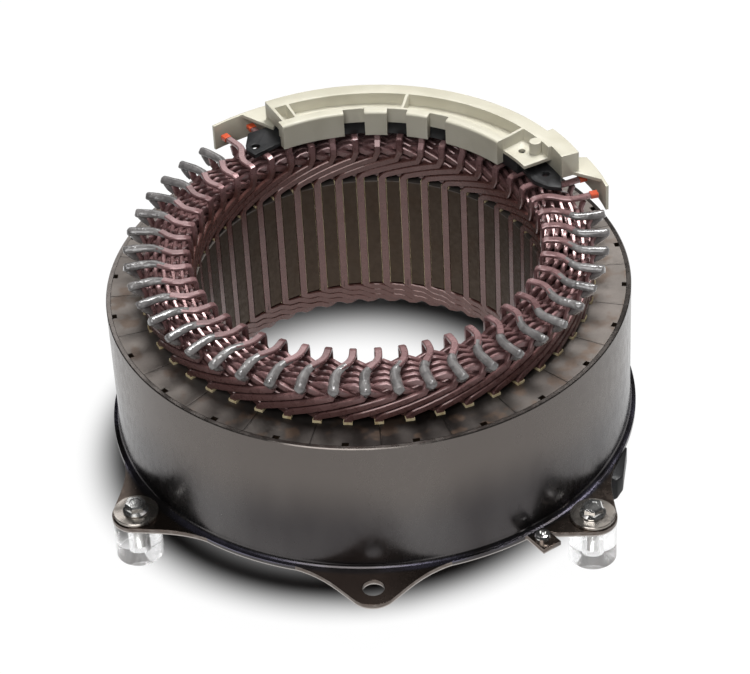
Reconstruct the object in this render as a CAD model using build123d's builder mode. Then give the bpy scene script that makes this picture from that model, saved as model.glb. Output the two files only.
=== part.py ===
"""Stator of a motor generator: segmented laminated core in a pressed steel ring, with its winding."""

from build123d import *
import math
import os

os.makedirs("parts", exist_ok=True)

# Core: laminated steel segments, bore along Z, middle of the stack at the origin
bore_radius = 92.4
core_radius = 137.3
stack_length = 70.4
segment_count = 24
first_split_angle = 0.84
slot_width = 4.75
slot_floor_wall = 16.3
split_gap = 0.1
split_jog = 0.9
split_jog_wall = 8.3
split_jog_length = 1.8
notch_width = 3.6
notch_depth = 2.4

# Slot filling
liner_thickness = 0.25
liner_clearance = 0.05
liner_overhang = 1.4
liner_setback = 0.6
wire_width = 3.8
wire_thickness = 2.2
layer_count = 12
layer_pitch = 2.35

# Upper coil end: leads on their ramps, crests, and bridges from the bore side to the joints
stub_height = 1.6
inner_span = 21.5
inner_rise = 13.2
outer_span = 20.0
outer_rise = 13.6
crest_height = 21.2
crest_slope = 27.0
crest_angle = 2.4
bridge_rise = 28.2
bridge_offset = 5.9
bridge_straight = 10.1
bridge_slant = 8.5
bridge_length = 36.4
joint_angle = 4.85
coat_start = 15.6
coat_allowance = 0.5
coat_depth = 5.4
coat_leg_width = 3.2
coat_tip_fillet = 2.4
ramp_gap = 0.3
ramp_facets = 8

# Lower coil end
lower_drop = 15.4
lower_slope = 27.0

# Pressed steel ring
ring_clearance = 0.05
ring_wall = 2.6
flange_thickness = 3.0
flange_drop = 11.8
flare_radius = 3.0
lip_width = 3.2
ear_reach = 15.4
ear_nose_radius = 12.8
ear_root_half_angle = 12.5
ear_root_fillet = 24.0
ear_hole_diameter = 11.5
front_ear_angles = (214.15, 267.87, 315.22)
foot_ear_angles = (214.15, 315.22, 87.87)
tab_angle = 303.8
tab_reach = 9.2
tab_width = 18.0
tab_tip = 8.0
tab_hole_diameter = 4.2

# Feet, washers and bolts
foot_diameter = 25.0
foot_height = 23.8
foot_chamfer = 0.6
foot_socket_depth = 19.0
washer_diameter = 24.0
washer_thickness = 2.0
bolt_diameter = 6.0
bolt_clearance = 0.2
bolt_hex = 10.0
bolt_flange_diameter = 13.6
bolt_flange_thickness = 1.6
bolt_head_height = 5.6
bolt_reach = 16.0

# Insulating base of the terminals, laid on the bridges
base_gap = 0.3
base_thickness = 2.5
base_wall = 1.8
base_start_angle = 31.0
base_end_angle = 115.5
base_outer_radius = 118.0
right_lug = ((101.5, 32.5), (100.0, 23.2), (104.6, 18.7), (110.9, 16.7), (115.8, 22.8), (117.6, 32.5))
right_lug_hole = (108.6, 24.7)
left_lug = ((100.6, 114.0), (97.6, 126.5), (104.1, 126.9), (108.7, 125.5), (117.4, 121.8), (117.6, 114.0))
left_lug_hole = (104.2, 123.6)
lug_hole_diameter = 4.6

# Cover over the base: a tray with a raised rim, sockets for the tall leads, and a wing at each end
cover_gap = 0.2
cover_height = 13.8
cover_start_angle = 26.5
cover_end_angle = 115.2
cover_front_start = 37.9
cover_radius = 121.0
cover_wall = 1.6
rim_width = 8.5
tray_depth = 7.0
tray_floor = 2.0
end_wall_angle = 0.9
rib_angles = (38.3, 76.0, 110.4)
rib_width = 1.4
tab_spans = ((38.0, 59.9), (66.6, 74.0), (80.7, 88.2), (95.2, 116.6))
socket_wall = 1.6
socket_gap = 0.8
socket_depth = 4.2
socket_drop = 5.8
socket_fillet = 1.5
socket_clearance = 0.3
block_start_angle = 20.6
block_end_angle = 33.0
block_inner_radius = 114.4
block_outer_radius = 124.5
boss_place = (109.8, 31.0)
boss_diameter = 6.4
cover_hole_place = (104.6, 33.7)
cover_hole_diameter = 4.0
wing_radius = 134.0
wing_wall = 1.6
wing_height = 15.4
wing_deck = 2.0
left_wing = (112.6, 127.5)
right_wing = (12.0, 24.6)
left_web = ((120.2, 111.0), (134.0, 112.6), (133.5, 119.5), (112.0, 115.2))
right_web = ((120.2, 28.5), (118.0, 26.5), (121.0, 20.6), (133.6, 14.6), (134.0, 24.6))

# Leads that end bare in a coloured sleeve, and those that rise into the cover's sockets, counted as joints
bare_joints = (1, 2, 15, 16)
tall_joints = (6, 8, 10, 12, 14)
sleeve_length = 4.4
sleeve_wall = 0.35

# Connector housing under the flange, and the screw of the ring's pointed tab
housing_corners = ((133.9, -52.0), (129.5, -75.5), (126.0, -79.0), (113.5, -71.5), (118.5, -45.5))
housing_height = 15.0
housing_step = 5.0
screw_head_diameter = 8.6
screw_head_height = 3.2
screw_socket_diameter = 3.4
screw_socket_depth = 1.6

# Worked out from the sizes above
segment_pitch = 360 / segment_count
slot_count = 2 * segment_count
slot_pitch = 360 / slot_count
core_top = stack_length / 2
core_foot = -stack_length / 2
slot_floor_radius = core_radius - slot_floor_wall
split_jog_radius = core_radius - split_jog_wall
ring_inner = core_radius + ring_clearance
ring_outer = ring_inner + ring_wall
lip_radius = ring_outer + lip_width
flange_under = core_foot - flange_drop
flange_top = flange_under + flange_thickness
ear_radius = ring_outer + ear_reach
ear_angles = front_ear_angles + tuple((angle + 180) % 360 for angle in front_ear_angles)
winding_outer = bore_radius + (layer_count - 1) * layer_pitch + wire_thickness
upper_base = core_top + stub_height
lower_base = core_foot - stub_height
bridge_top = core_top + bridge_rise
bridge_under = bridge_top - wire_thickness
base_under = bridge_top + base_gap
base_top = base_under + base_thickness
cover_under = base_top + cover_gap
cover_top = cover_under + cover_height
floor_top = cover_top - tray_depth
floor_under = floor_top - tray_floor
socket_inner = bore_radius + socket_gap
cover_inner = socket_inner + socket_depth
base_inner = cover_inner + cover_gap
socket_foot = floor_under - socket_drop
tall_joggle = upper_base + crest_height + ramp_gap
tall_radius = socket_inner + socket_wall + wire_thickness / 2
tall_reach = socket_gap + socket_wall + wire_thickness
tall_top = floor_under - socket_clearance


def polar(radius, angle):
    """Point in plan at a radius and an angle in degrees."""
    turn = math.radians(angle)
    return (radius * math.cos(turn), radius * math.sin(turn))


def arc_band(inner, outer, start, end):
    """Closed outline of a band between two radii, from a start to an end angle, as a face."""
    middle = (start + end) / 2
    with BuildSketch(mode=Mode.PRIVATE) as band:
        with BuildLine():
            ThreePointArc(polar(outer, start), polar(outer, middle), polar(outer, end))
            Line(polar(outer, end), polar(inner, end))
            ThreePointArc(polar(inner, end), polar(inner, middle), polar(inner, start))
            Line(polar(inner, start), polar(outer, start))
        make_face()
    return band.sketch


def outline(corners):
    """Face of a straight-sided outline given by its corners."""
    with BuildSketch(mode=Mode.PRIVATE) as shape:
        with BuildLine():
            Polyline(*corners, close=True)
        make_face()
    return shape.sketch


def facet_band(inner, outer, span):
    """Face of a band between two radii in straight facets, as far as an angle to both sides of the X axis."""
    angles = [span * (2 * index / ramp_facets - 1) for index in range(ramp_facets + 1)]
    near = inner / math.cos(math.radians(span / ramp_facets))
    corners = [polar(outer, angle) for angle in angles] + [polar(near, angle) for angle in reversed(angles)]
    return outline(corners)


def save(piece, name):
    """Label a finished piece and write it."""
    piece.label = name
    export_step(piece, f"parts/{name}.step")


def layer_inner(layer):
    """Inner radius of a layer of wires, counted from the bore."""
    return bore_radius + layer * layer_pitch


def split_line(side):
    """Points of the joint between two segments, from the bore out, turned to one side."""
    offset = -side * split_gap / 2
    along = (
        (bore_radius - slot_width, offset),
        (split_jog_radius - split_jog_length / 2, offset),
        (split_jog_radius + split_jog_length / 2, offset + split_jog),
        (core_radius + slot_width, offset + split_jog),
    )
    turn = math.radians(side * segment_pitch / 2)
    return [
        (r * math.cos(turn) - t * math.sin(turn), r * math.sin(turn) + t * math.cos(turn)) for r, t in along
    ]


# One segment of the core: two teeth, a whole slot between them and half a slot at each side
slot_length = slot_floor_radius - bore_radius
with BuildSketch() as segment_profile:
    with BuildLine():
        Polyline(*split_line(-1), *reversed(split_line(1)), close=True)
    make_face()
    Circle(core_radius, mode=Mode.INTERSECT)
    Circle(bore_radius, mode=Mode.SUBTRACT)
    for side in (-1, 0, 1):
        with Locations(Location((0, 0, 0), (0, 0, side * segment_pitch / 2))):
            with Locations((slot_floor_radius - slot_length, 0)):
                Rectangle(2 * slot_length, slot_width, mode=Mode.SUBTRACT)
    with Locations((core_radius, 0)):
        Rectangle(2 * notch_depth, notch_width, mode=Mode.SUBTRACT)

for index in range(segment_count):
    turn = first_split_angle + (index + 0.5) * segment_pitch
    with BuildPart() as core_segment:
        with BuildSketch(Plane.XY.offset(core_foot)):
            add(segment_profile.sketch, rotation=turn)
        extrude(amount=stack_length)
    save(core_segment.part, f"core_segment_{index + 1:02d}")

# Slot liners: a folded strip of paper in each slot, open to the bore
liner_outer_width = slot_width - 2 * liner_clearance
liner_inner_width = liner_outer_width - 2 * liner_thickness
liner_floor = slot_floor_radius - liner_clearance
liner_mouth = bore_radius + liner_setback
liner_depth = liner_floor - liner_mouth
with BuildPart() as slot_liners:
    with BuildSketch(Plane.XY.offset(core_foot - liner_overhang)):
        with PolarLocations(0, slot_count, start_angle=first_split_angle):
            with Locations((liner_mouth + liner_depth / 2, 0)):
                Rectangle(liner_depth, liner_outer_width)
        with PolarLocations(0, slot_count, start_angle=first_split_angle):
            with Locations((liner_mouth + liner_depth / 2 - liner_thickness, 0)):
                Rectangle(liner_depth, liner_inner_width, mode=Mode.SUBTRACT)
    extrude(amount=stack_length + 2 * liner_overhang)
save(slot_liners.part, "slot_liners")

# Conductors: the twelve layers of flat wire of each slot, in one bar
with BuildPart() as slot_conductors:
    with BuildSketch(Plane.XY.offset(core_foot - stub_height)):
        with PolarLocations(0, slot_count, start_angle=first_split_angle):
            with Locations(((bore_radius + winding_outer) / 2, 0)):
                Rectangle(winding_outer - bore_radius, wire_width)
    extrude(amount=stack_length + 2 * stub_height)
save(slot_conductors.part, "slot_conductors")


def ramp_wires(inner, span, foot, rise, lean):
    """The flat wires of one layer, side by side, each on its slant round the coil end."""
    outer = inner + wire_thickness
    reach = (inner + outer) / 2 * math.sin(math.radians(span / 2)) + wire_width / 2
    depth = wire_width / math.cos(math.atan2(rise, 2 * reach))
    with BuildPart() as wire:
        with BuildSketch(Plane.XY.offset(foot)):
            add(facet_band(inner, outer, span))
        extrude(amount=rise + depth)
        with BuildSketch(Plane.YZ):
            add(
                outline(
                    (
                        (-lean * reach, foot),
                        (lean * reach, foot + rise),
                        (lean * reach, foot + rise + depth),
                        (-lean * reach, foot + depth),
                    )
                )
            )
        extrude(amount=outer + wire_thickness, mode=Mode.INTERSECT)
    with BuildPart() as layer:
        with PolarLocations(0, slot_count, start_angle=first_split_angle + lean * span / 2):
            add(wire.part)
    return layer.part


def crest_ring(inner, outer, base, height, slope, turn):
    """Ring of crossed wires of two layers, with a crest at each slot pitch. A negative height hangs."""
    half = math.radians(slot_pitch / 2)
    near = inner * math.tan(half)
    far = outer * math.sin(half)
    reach = outer * math.cos(half)
    up = math.copysign(1, height)
    eave = base + height - up * far * math.tan(math.radians(slope))
    with BuildPart() as crest:
        with BuildSketch(Plane.XY.offset(min(base, base + height))):
            add(outline(((inner, -near), (reach, -far), (reach, far), (inner, near))))
        extrude(amount=abs(height))
        with BuildSketch(Plane.YZ):
            add(outline(((-far, base), (-far, eave), (0, base + height), (far, eave), (far, base))))
        extrude(amount=outer + wire_thickness, mode=Mode.INTERSECT)
    with BuildPart() as ring:
        with PolarLocations(0, slot_count, start_angle=first_split_angle + turn):
            add(crest.part)
    return ring.part


# Upper coil end: wires of the inner and outer layers on their ramps, and the crest rows between them
save(ramp_wires(layer_inner(0), inner_span, upper_base, inner_rise, -1), "inner_lead_ramps")
save(ramp_wires(layer_inner(layer_count - 1), outer_span, upper_base, outer_rise, 1), "outer_lead_ramps")
for row in range(layer_count // 2 - 1):
    row_inner = layer_inner(2 * row + 1)
    row_outer = layer_inner(2 * row + 2) + wire_thickness
    save(
        crest_ring(row_inner, row_outer, upper_base, crest_height, crest_slope, crest_angle),
        f"crest_row_{row + 1}",
    )

# Lower coil end: the wires cross under the core in pairs of layers
for row in range(layer_count // 2):
    row_inner = layer_inner(2 * row)
    row_outer = layer_inner(2 * row + 1) + wire_thickness
    save(
        crest_ring(row_inner, row_outer, lower_base, stub_height - lower_drop, lower_slope, crest_angle),
        f"lower_crest_row_{row + 1}",
    )

# Bridge wires: each rises at the bore, bends outward and crosses the coil end in an S
riser_foot = upper_base + inner_rise + wire_width / math.cos(math.radians(crest_slope)) + ramp_gap
riser_depth = wire_thickness - ramp_gap
bridge_tip = bore_radius + bridge_length
slant_start = bore_radius + bridge_straight
slant_end = slant_start + bridge_slant
coat_inner = bore_radius + coat_start


def bridge_plan(width):
    """Plan of one bridge at the X axis, as a strip of a width along its S from the bore to its tip."""
    half = width / 2
    slant = math.atan2(bridge_offset, bridge_slant)
    shift = half * math.tan(slant / 2)
    with BuildSketch(mode=Mode.PRIVATE) as strip:
        add(
            outline(
                (
                    (bore_radius, bridge_offset - half),
                    (slant_start - shift, bridge_offset - half),
                    (slant_end - shift, -half),
                    (bridge_tip, -half),
                    (bridge_tip, half),
                    (slant_end + shift, half),
                    (slant_start + shift, bridge_offset + half),
                    (bore_radius, bridge_offset + half),
                )
            )
        )
    return strip.sketch


def bridge_wire(reach):
    """One bridge at the X axis: its riser at the bore and the S, as far as a radius."""
    with BuildPart() as wire:
        with BuildSketch(Plane.XY.offset(riser_foot)):
            add(bridge_plan(wire_width))
        extrude(amount=bridge_top - riser_foot)
        with BuildSketch(Plane.XZ):
            add(
                outline(
                    (
                        (bore_radius, riser_foot),
                        (bore_radius + riser_depth, riser_foot),
                        (bore_radius + riser_depth, bridge_under),
                        (reach, bridge_under),
                        (reach, bridge_top),
                        (bore_radius + wire_thickness / 2, bridge_top),
                        (bore_radius, bridge_top - wire_thickness / 2),
                    )
                )
            )
        extrude(amount=2 * bridge_offset, both=True, mode=Mode.INTERSECT)
    return wire.part


leg_inner = layer_inner(layer_count - 1)
leg_foot = upper_base + outer_rise + wire_width / math.cos(math.radians(crest_slope)) + ramp_gap
joint_places = [first_split_angle + joint_angle + index * slot_pitch for index in range(slot_count)]
plain_joints = [index for index in range(slot_count) if index not in bare_joints + tall_joints]
dipped_joints = [index for index in range(slot_count) if index not in bare_joints]
riser_turn = math.degrees(math.atan2(bridge_offset, bore_radius))
plain_bridge = bridge_wire(coat_inner)
bare_bridge = bridge_wire(bridge_tip - sleeve_length)
with BuildPart() as bare_leg:
    with BuildSketch(Plane.XY.offset(leg_foot)):
        with Locations((leg_inner + wire_thickness / 2, 0)):
            Rectangle(wire_thickness, wire_width)
    extrude(amount=bridge_under - leg_foot)
with BuildPart() as tall_riser:
    with BuildSketch(Plane.XY.offset(riser_foot)):
        with Locations((bore_radius + wire_thickness / 2, 0)):
            Rectangle(wire_thickness, wire_width)
    extrude(amount=tall_joggle - riser_foot)
    with BuildSketch(Plane.XY.offset(tall_joggle)):
        with Locations((bore_radius + tall_reach / 2, 0)):
            Rectangle(tall_reach, wire_width)
    extrude(amount=wire_thickness)
    with BuildSketch(Plane.XY.offset(tall_joggle)):
        with Locations((tall_radius, 0)):
            Rectangle(wire_thickness, wire_width)
    extrude(amount=tall_top - tall_joggle)
with BuildPart() as bridge_wires:
    add([plain_bridge.rotate(Axis.Z, joint_places[index]) for index in plain_joints])
    add([bare_bridge.rotate(Axis.Z, joint_places[index]) for index in bare_joints])
    add([bare_leg.part.rotate(Axis.Z, joint_places[index]) for index in bare_joints])
    add([tall_riser.part.rotate(Axis.Z, joint_places[index] + riser_turn) for index in tall_joints])
save(bridge_wires.part, "bridge_wires")

# Joints: the outer end of each bridge and the lead it meets, dipped in epoxy
coat_width = wire_width + 2 * coat_allowance
coat_top = bridge_top
with BuildPart() as coated_joint:
    with BuildSketch(Plane.XY.offset(leg_foot)):
        add(bridge_plan(coat_width))
    extrude(amount=coat_top - leg_foot)
    tip_edges = coated_joint.edges().filter_by(Axis.Z).group_by(Axis.X)[-1]
    chamfer(tip_edges, coat_tip_fillet / math.sqrt(2))
    with BuildSketch(Plane.XZ):
        add(
            outline(
                (
                    (coat_inner, bridge_under),
                    (coat_inner, coat_top),
                    (bridge_tip, coat_top),
                    (bridge_tip, coat_top - coat_depth),
                    (leg_inner + coat_leg_width, leg_foot + coat_leg_width),
                    (leg_inner + coat_leg_width, leg_foot),
                    (leg_inner, leg_foot),
                    (leg_inner, bridge_under),
                )
            )
        )
    extrude(amount=2 * bridge_offset, both=True, mode=Mode.INTERSECT)
with BuildPart() as coated_joints:
    add([coated_joint.part.rotate(Axis.Z, joint_places[index]) for index in dipped_joints])
save(coated_joints.part, "coated_joints")

# Sleeves on the ends of the bare bridges
with BuildPart() as lead_sleeves:
    for index in bare_joints:
        with BuildSketch(Plane.XY.offset(bridge_under - sleeve_wall)):
            with Locations(Location((0, 0, 0), (0, 0, joint_places[index]))):
                with Locations((bridge_tip - sleeve_length / 2, 0)):
                    Rectangle(sleeve_length, wire_width + 2 * sleeve_wall)
        extrude(amount=wire_thickness + 2 * sleeve_wall)
save(lead_sleeves.part, "lead_sleeves")

# Pressed ring: a sleeve that flares into a narrow flange with ears, and a pointed tab for a screw
ear_root = lip_radius * math.sin(math.radians(ear_root_half_angle))
ear_root_middle = lip_radius * math.cos(math.radians(ear_root_half_angle))
tab_radius = ring_outer + tab_reach
with BuildSketch() as ear_outline:
    with BuildLine():
        Line((ear_root_middle, -ear_root), (ear_root_middle, ear_root))
        CenterArc((ear_radius, 0), ear_nose_radius, -90, 180)
    make_hull()
with BuildSketch() as tab_outline:
    with BuildLine():
        Polyline(
            (ring_inner, -tab_width / 2),
            (tab_radius, -tab_width / 2),
            (tab_radius + tab_tip, 0),
            (tab_radius, tab_width / 2),
            (ring_inner, tab_width / 2),
            close=True,
        )
    make_face()
with BuildPart() as outer_ring:
    with BuildSketch(Plane.XY.offset(flange_under)):
        Circle(lip_radius)
        for angle in ear_angles:
            add(ear_outline.sketch, rotation=angle)
        add(tab_outline.sketch, rotation=tab_angle)
    extrude(amount=flange_thickness)
    with BuildSketch(Plane.XY.offset(flange_under)):
        Circle(ring_outer)
    extrude(amount=core_top - flange_under)
    foot_edge = outer_ring.edges().filter_by(GeomType.CIRCLE).filter_by(
        lambda edge: abs(edge.radius - ring_outer) < ring_clearance and edge.center().Z < core_foot
    )
    fillet(foot_edge, flare_radius)
    with BuildSketch(Plane.XY.offset(flange_under)):
        Circle(ring_inner)
    extrude(amount=core_top - flange_under, mode=Mode.SUBTRACT)
    mouth_edge = outer_ring.edges().filter_by(GeomType.CIRCLE).filter_by(
        lambda edge: abs(edge.radius - ring_inner) < ring_clearance and edge.center().Z < flange_top
    )
    chamfer(mouth_edge, flare_radius)
    with BuildSketch(Plane.XY.offset(flange_under)):
        with Locations(*[polar(ear_radius, angle) for angle in ear_angles]):
            Circle(ear_hole_diameter / 2)
        with Locations(polar(tab_radius, tab_angle)):
            Circle(tab_hole_diameter / 2)
    extrude(amount=flange_thickness, mode=Mode.SUBTRACT)
save(outer_ring.part, "outer_ring")

# Clear feet under three of the ears, each with its washer and bolt
foot_places = [polar(ear_radius, angle) for angle in foot_ear_angles]
foot_under = flange_under - foot_height
washer_top = flange_top + washer_thickness
with BuildPart() as clear_feet:
    with BuildSketch(Plane.XY.offset(flange_under)):
        with Locations(*foot_places):
            Circle(foot_diameter / 2)
    extrude(amount=-foot_height)
    chamfer(clear_feet.edges().group_by(Axis.Z)[0], foot_chamfer)
    with BuildSketch(Plane.XY.offset(flange_under)):
        with Locations(*foot_places):
            Circle(bolt_diameter / 2 + bolt_clearance)
    extrude(amount=-foot_socket_depth, mode=Mode.SUBTRACT)
save(clear_feet.part, "clear_feet")

with BuildPart() as mount_washers:
    with BuildSketch(Plane.XY.offset(flange_top)):
        with Locations(*foot_places):
            Circle(washer_diameter / 2)
            Circle(bolt_diameter / 2 + bolt_clearance, mode=Mode.SUBTRACT)
    extrude(amount=washer_thickness)
save(mount_washers.part, "mount_washers")

with BuildPart() as mount_bolts:
    with BuildSketch(Plane.XY.offset(washer_top)):
        with Locations(*foot_places):
            Circle(bolt_flange_diameter / 2)
    extrude(amount=bolt_flange_thickness)
    with BuildSketch(Plane.XY.offset(washer_top)):
        with Locations(*foot_places):
            RegularPolygon(bolt_hex / 2, 6, major_radius=False)
    extrude(amount=bolt_head_height)
    with BuildSketch(Plane.XY.offset(washer_top)):
        with Locations(*foot_places):
            Circle(bolt_diameter / 2)
    extrude(amount=-(washer_thickness + flange_thickness + bolt_reach))
save(mount_bolts.part, "mount_bolts")

# Insulating base of the terminals: a plate with a low wall at the bore side and a lug at each end
with BuildPart() as terminal_base:
    with BuildSketch(Plane.XY.offset(base_under)):
        add(arc_band(base_inner, base_outer_radius, base_start_angle, base_end_angle))
        add(outline([polar(*place) for place in right_lug]))
        add(outline([polar(*place) for place in left_lug]))
        with Locations(polar(*right_lug_hole), polar(*left_lug_hole)):
            Circle(lug_hole_diameter / 2, mode=Mode.SUBTRACT)
    extrude(amount=base_thickness)
    with BuildSketch(Plane.XY.offset(base_top)):
        add(arc_band(base_inner, base_inner + base_wall, base_start_angle, base_end_angle))
    extrude(amount=floor_under - cover_gap - base_top)
save(terminal_base.part, "terminal_base")

# Cover: tray floor, rim with its skirt, front wall, end wall, ribs, sockets, end block and wings
rim_inner = cover_radius - rim_width
wall_angle = math.degrees(rib_width / cover_inner)
with BuildPart() as terminal_cover:
    with BuildSketch(Plane.XY.offset(floor_under)):
        add(arc_band(cover_inner, cover_radius, cover_start_angle, cover_end_angle))
    extrude(amount=tray_floor)
    with BuildSketch(Plane.XY.offset(floor_under)):
        add(arc_band(rim_inner, cover_radius, cover_start_angle, cover_end_angle))
        add(arc_band(cover_inner, cover_inner + cover_wall, cover_front_start, cover_end_angle))
        add(arc_band(cover_inner, cover_radius, cover_end_angle - end_wall_angle, cover_end_angle))
        for angle in rib_angles:
            add(arc_band(cover_inner, rim_inner + cover_wall, angle - wall_angle / 2, angle + wall_angle / 2))
        with Locations(polar(*boss_place)):
            Circle(boss_diameter / 2)
    extrude(amount=cover_top - floor_under)
    with BuildSketch(Plane.XY.offset(cover_under)):
        add(arc_band(cover_radius - cover_wall, cover_radius, cover_start_angle, cover_end_angle))
        add(arc_band(block_inner_radius, block_outer_radius, block_start_angle, block_end_angle))
    extrude(amount=cover_top - cover_under)
    with BuildSketch(Plane.XY.offset(floor_under)):
        for start, end in tab_spans:
            add(arc_band(socket_inner, cover_inner + cover_wall, start, end))
    extrude(amount=cover_top - floor_under)
    with BuildSketch(Plane.XY.offset(floor_under)):
        for start, end in tab_spans:
            add(arc_band(socket_inner, cover_inner, start, end))
    extrude(amount=-socket_drop)
    socket_edges = terminal_cover.edges().filter_by(GeomType.CIRCLE).filter_by(
        lambda edge: abs(edge.radius - socket_inner) < cover_gap and edge.center().Z > floor_top
    )
    fillet(socket_edges, socket_fillet)
    with BuildSketch(Plane.XY.offset(socket_foot)):
        for index in tall_joints:
            with Locations(Location((0, 0, 0), (0, 0, joint_places[index] + riser_turn))):
                with Locations((tall_radius + socket_clearance, 0)):
                    Rectangle(wire_thickness + 4 * socket_clearance, wire_width + 2 * socket_clearance)
    extrude(amount=socket_drop, mode=Mode.SUBTRACT)
    with BuildSketch(Plane.XY.offset(cover_under)):
        for web in (left_web, right_web):
            add(outline([polar(*place) for place in web]))
    extrude(amount=wing_deck)
    with BuildSketch(Plane.XY.offset(cover_under + wing_deck - wing_height)):
        for start, end in (left_wing, right_wing):
            add(arc_band(wing_radius - wing_wall, wing_radius, start, end))
    extrude(amount=wing_height)
    with BuildSketch(Plane.XY.offset(floor_under)):
        with Locations(polar(*cover_hole_place)):
            Circle(cover_hole_diameter / 2)
    extrude(amount=tray_floor, mode=Mode.SUBTRACT)
save(terminal_cover.part, "terminal_cover")

# Connector housing under the flange, stepped at its outer side
with BuildPart() as connector_housing:
    with BuildSketch(Plane.XY.offset(flange_under)):
        add(outline(housing_corners))
    extrude(amount=-housing_height)
    outer_foot = connector_housing.edges().group_by(Axis.Z)[0].sort_by(Axis.X)[-1]
    chamfer(outer_foot, housing_step)
save(connector_housing.part, "connector_housing")

# Screw of the pointed tab, with its socket
with BuildPart() as tab_screw:
    with BuildSketch(Plane.XY.offset(flange_top)):
        with Locations(polar(tab_radius, tab_angle)):
            Circle(screw_head_diameter / 2)
    extrude(amount=screw_head_height)
    with BuildSketch(Plane.XY.offset(flange_top)):
        with Locations(polar(tab_radius, tab_angle)):
            Circle(tab_hole_diameter / 2 - bolt_clearance)
    extrude(amount=-flange_thickness)
    with BuildSketch(Plane.XY.offset(flange_top + screw_head_height)):
        with Locations(polar(tab_radius, tab_angle)):
            RegularPolygon(screw_socket_diameter / 2, 6)
    extrude(amount=-screw_socket_depth, mode=Mode.SUBTRACT)
save(tab_screw.part, "tab_screw")
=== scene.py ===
"""Dressed model of a motor generator stator: its winding, core, ring, cover and mounts."""

import logging
import math
from dataclasses import dataclass, field
from enum import Enum

import bmesh
import bpy
from mathutils import Matrix, Vector


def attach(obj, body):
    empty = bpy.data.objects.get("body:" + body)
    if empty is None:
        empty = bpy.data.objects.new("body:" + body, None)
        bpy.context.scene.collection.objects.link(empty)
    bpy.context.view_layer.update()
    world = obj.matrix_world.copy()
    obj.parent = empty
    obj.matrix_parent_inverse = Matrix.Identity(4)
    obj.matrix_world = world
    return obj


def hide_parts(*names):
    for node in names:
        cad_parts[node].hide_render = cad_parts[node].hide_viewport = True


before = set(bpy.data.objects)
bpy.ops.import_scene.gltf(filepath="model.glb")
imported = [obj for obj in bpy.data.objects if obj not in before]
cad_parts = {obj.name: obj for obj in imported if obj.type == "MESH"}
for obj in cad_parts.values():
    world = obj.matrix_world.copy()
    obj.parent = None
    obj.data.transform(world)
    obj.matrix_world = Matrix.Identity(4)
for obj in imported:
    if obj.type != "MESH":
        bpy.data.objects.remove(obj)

log = logging.getLogger("stator")
MM = 0.001
DOWN = Vector((0.0, 0.0, -1.0))


class Slot(Enum):
    """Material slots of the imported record."""

    CORE = "core_steel"
    RING = "ring_steel"
    PAPER = "liner_paper"
    WIRE = "enamelled_wire"
    EPOXY = "joint_epoxy"
    SLEEVE = "red_sleeve"
    IVORY = "ivory_plastic"
    BLACK = "black_plastic"
    ZINC = "zinc_steel"
    WASHER = "washer_steel"
    ACRYLIC = "clear_acrylic"


@dataclass(frozen=True)
class Sizes:
    """Sizes shared by the pieces, in metres and degrees."""

    core_top: float = 35.2 * MM
    core_foot: float = -35.2 * MM
    stub_height: float = 1.6 * MM
    bore_radius: float = 92.4 * MM
    layer_pitch: float = 2.35 * MM
    wire_width: float = 3.8 * MM
    wire_thickness: float = 2.2 * MM
    slot_count: int = 48
    first_slot: float = 0.84
    bridge_top: float = 63.4 * MM
    tip_radius: float = 128.8 * MM
    joint_angle: float = 4.85
    bridge_offset: float = 5.9 * MM
    crest_top: float = 58.0 * MM
    lower_foot: float = -50.6 * MM
    ring_inner: float = 137.35 * MM
    ring_outer: float = 139.95 * MM
    lip_radius: float = 143.15 * MM
    lip_inset: float = 0.05 * MM
    plate_inset: float = 0.4 * MM
    flange_under: float = -47.0 * MM
    flange_top: float = -44.0 * MM
    flare_radius: float = 3.0 * MM
    ear_radius: float = 155.35 * MM
    ear_nose_radius: float = 12.8 * MM
    ear_root_half_angle: float = 12.5
    ear_hole_radius: float = 5.75 * MM
    front_ears: tuple = (214.15, 267.87, 315.22)
    foot_ears: tuple = (214.15, 315.22, 87.87)
    tab_angle: float = 303.8
    tab_radius: float = 149.15 * MM
    tab_half_width: float = 5.6 * MM
    tab_tip: float = 8.0 * MM
    tab_hole_radius: float = 2.1 * MM
    foot_radius: float = 12.5 * MM
    foot_under: float = -70.8 * MM
    socket_under: float = -66.0 * MM
    washer_radius: float = 12.0 * MM
    washer_thickness: float = 2.0 * MM
    bolt_radius: float = 3.0 * MM
    hole_clearance: float = 0.2 * MM
    hex_flat: float = 10.0 * MM
    bolt_flange_radius: float = 6.8 * MM
    bolt_flange_thickness: float = 1.6 * MM
    bolt_head_height: float = 5.6 * MM
    bolt_reach: float = 16.0 * MM

    @property
    def slot_pitch(self) -> float:
        """Angle from one slot to the next."""
        return 360.0 / self.slot_count

    @property
    def ears(self) -> tuple:
        """Angles of the six ears."""
        return self.front_ears + tuple((angle + 180.0) % 360.0 for angle in self.front_ears)

    def layer(self, index: int) -> float:
        """Find the middle radius of a layer of wires.

        Args:
            index: The layer, counted from the bore.

        Returns:
            Its middle radius.
        """
        return self.bore_radius + index * self.layer_pitch + self.wire_thickness / 2


def polar(radius: float, angle: float, height: float = 0.0) -> Vector:
    """Give a point by radius and angle.

    Args:
        radius: Distance from the axis.
        angle: Angle round the axis in degrees.
        height: Place along the axis.

    Returns:
        The point.
    """
    turn = math.radians(angle)
    return Vector((radius * math.cos(turn), radius * math.sin(turn), height))


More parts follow.
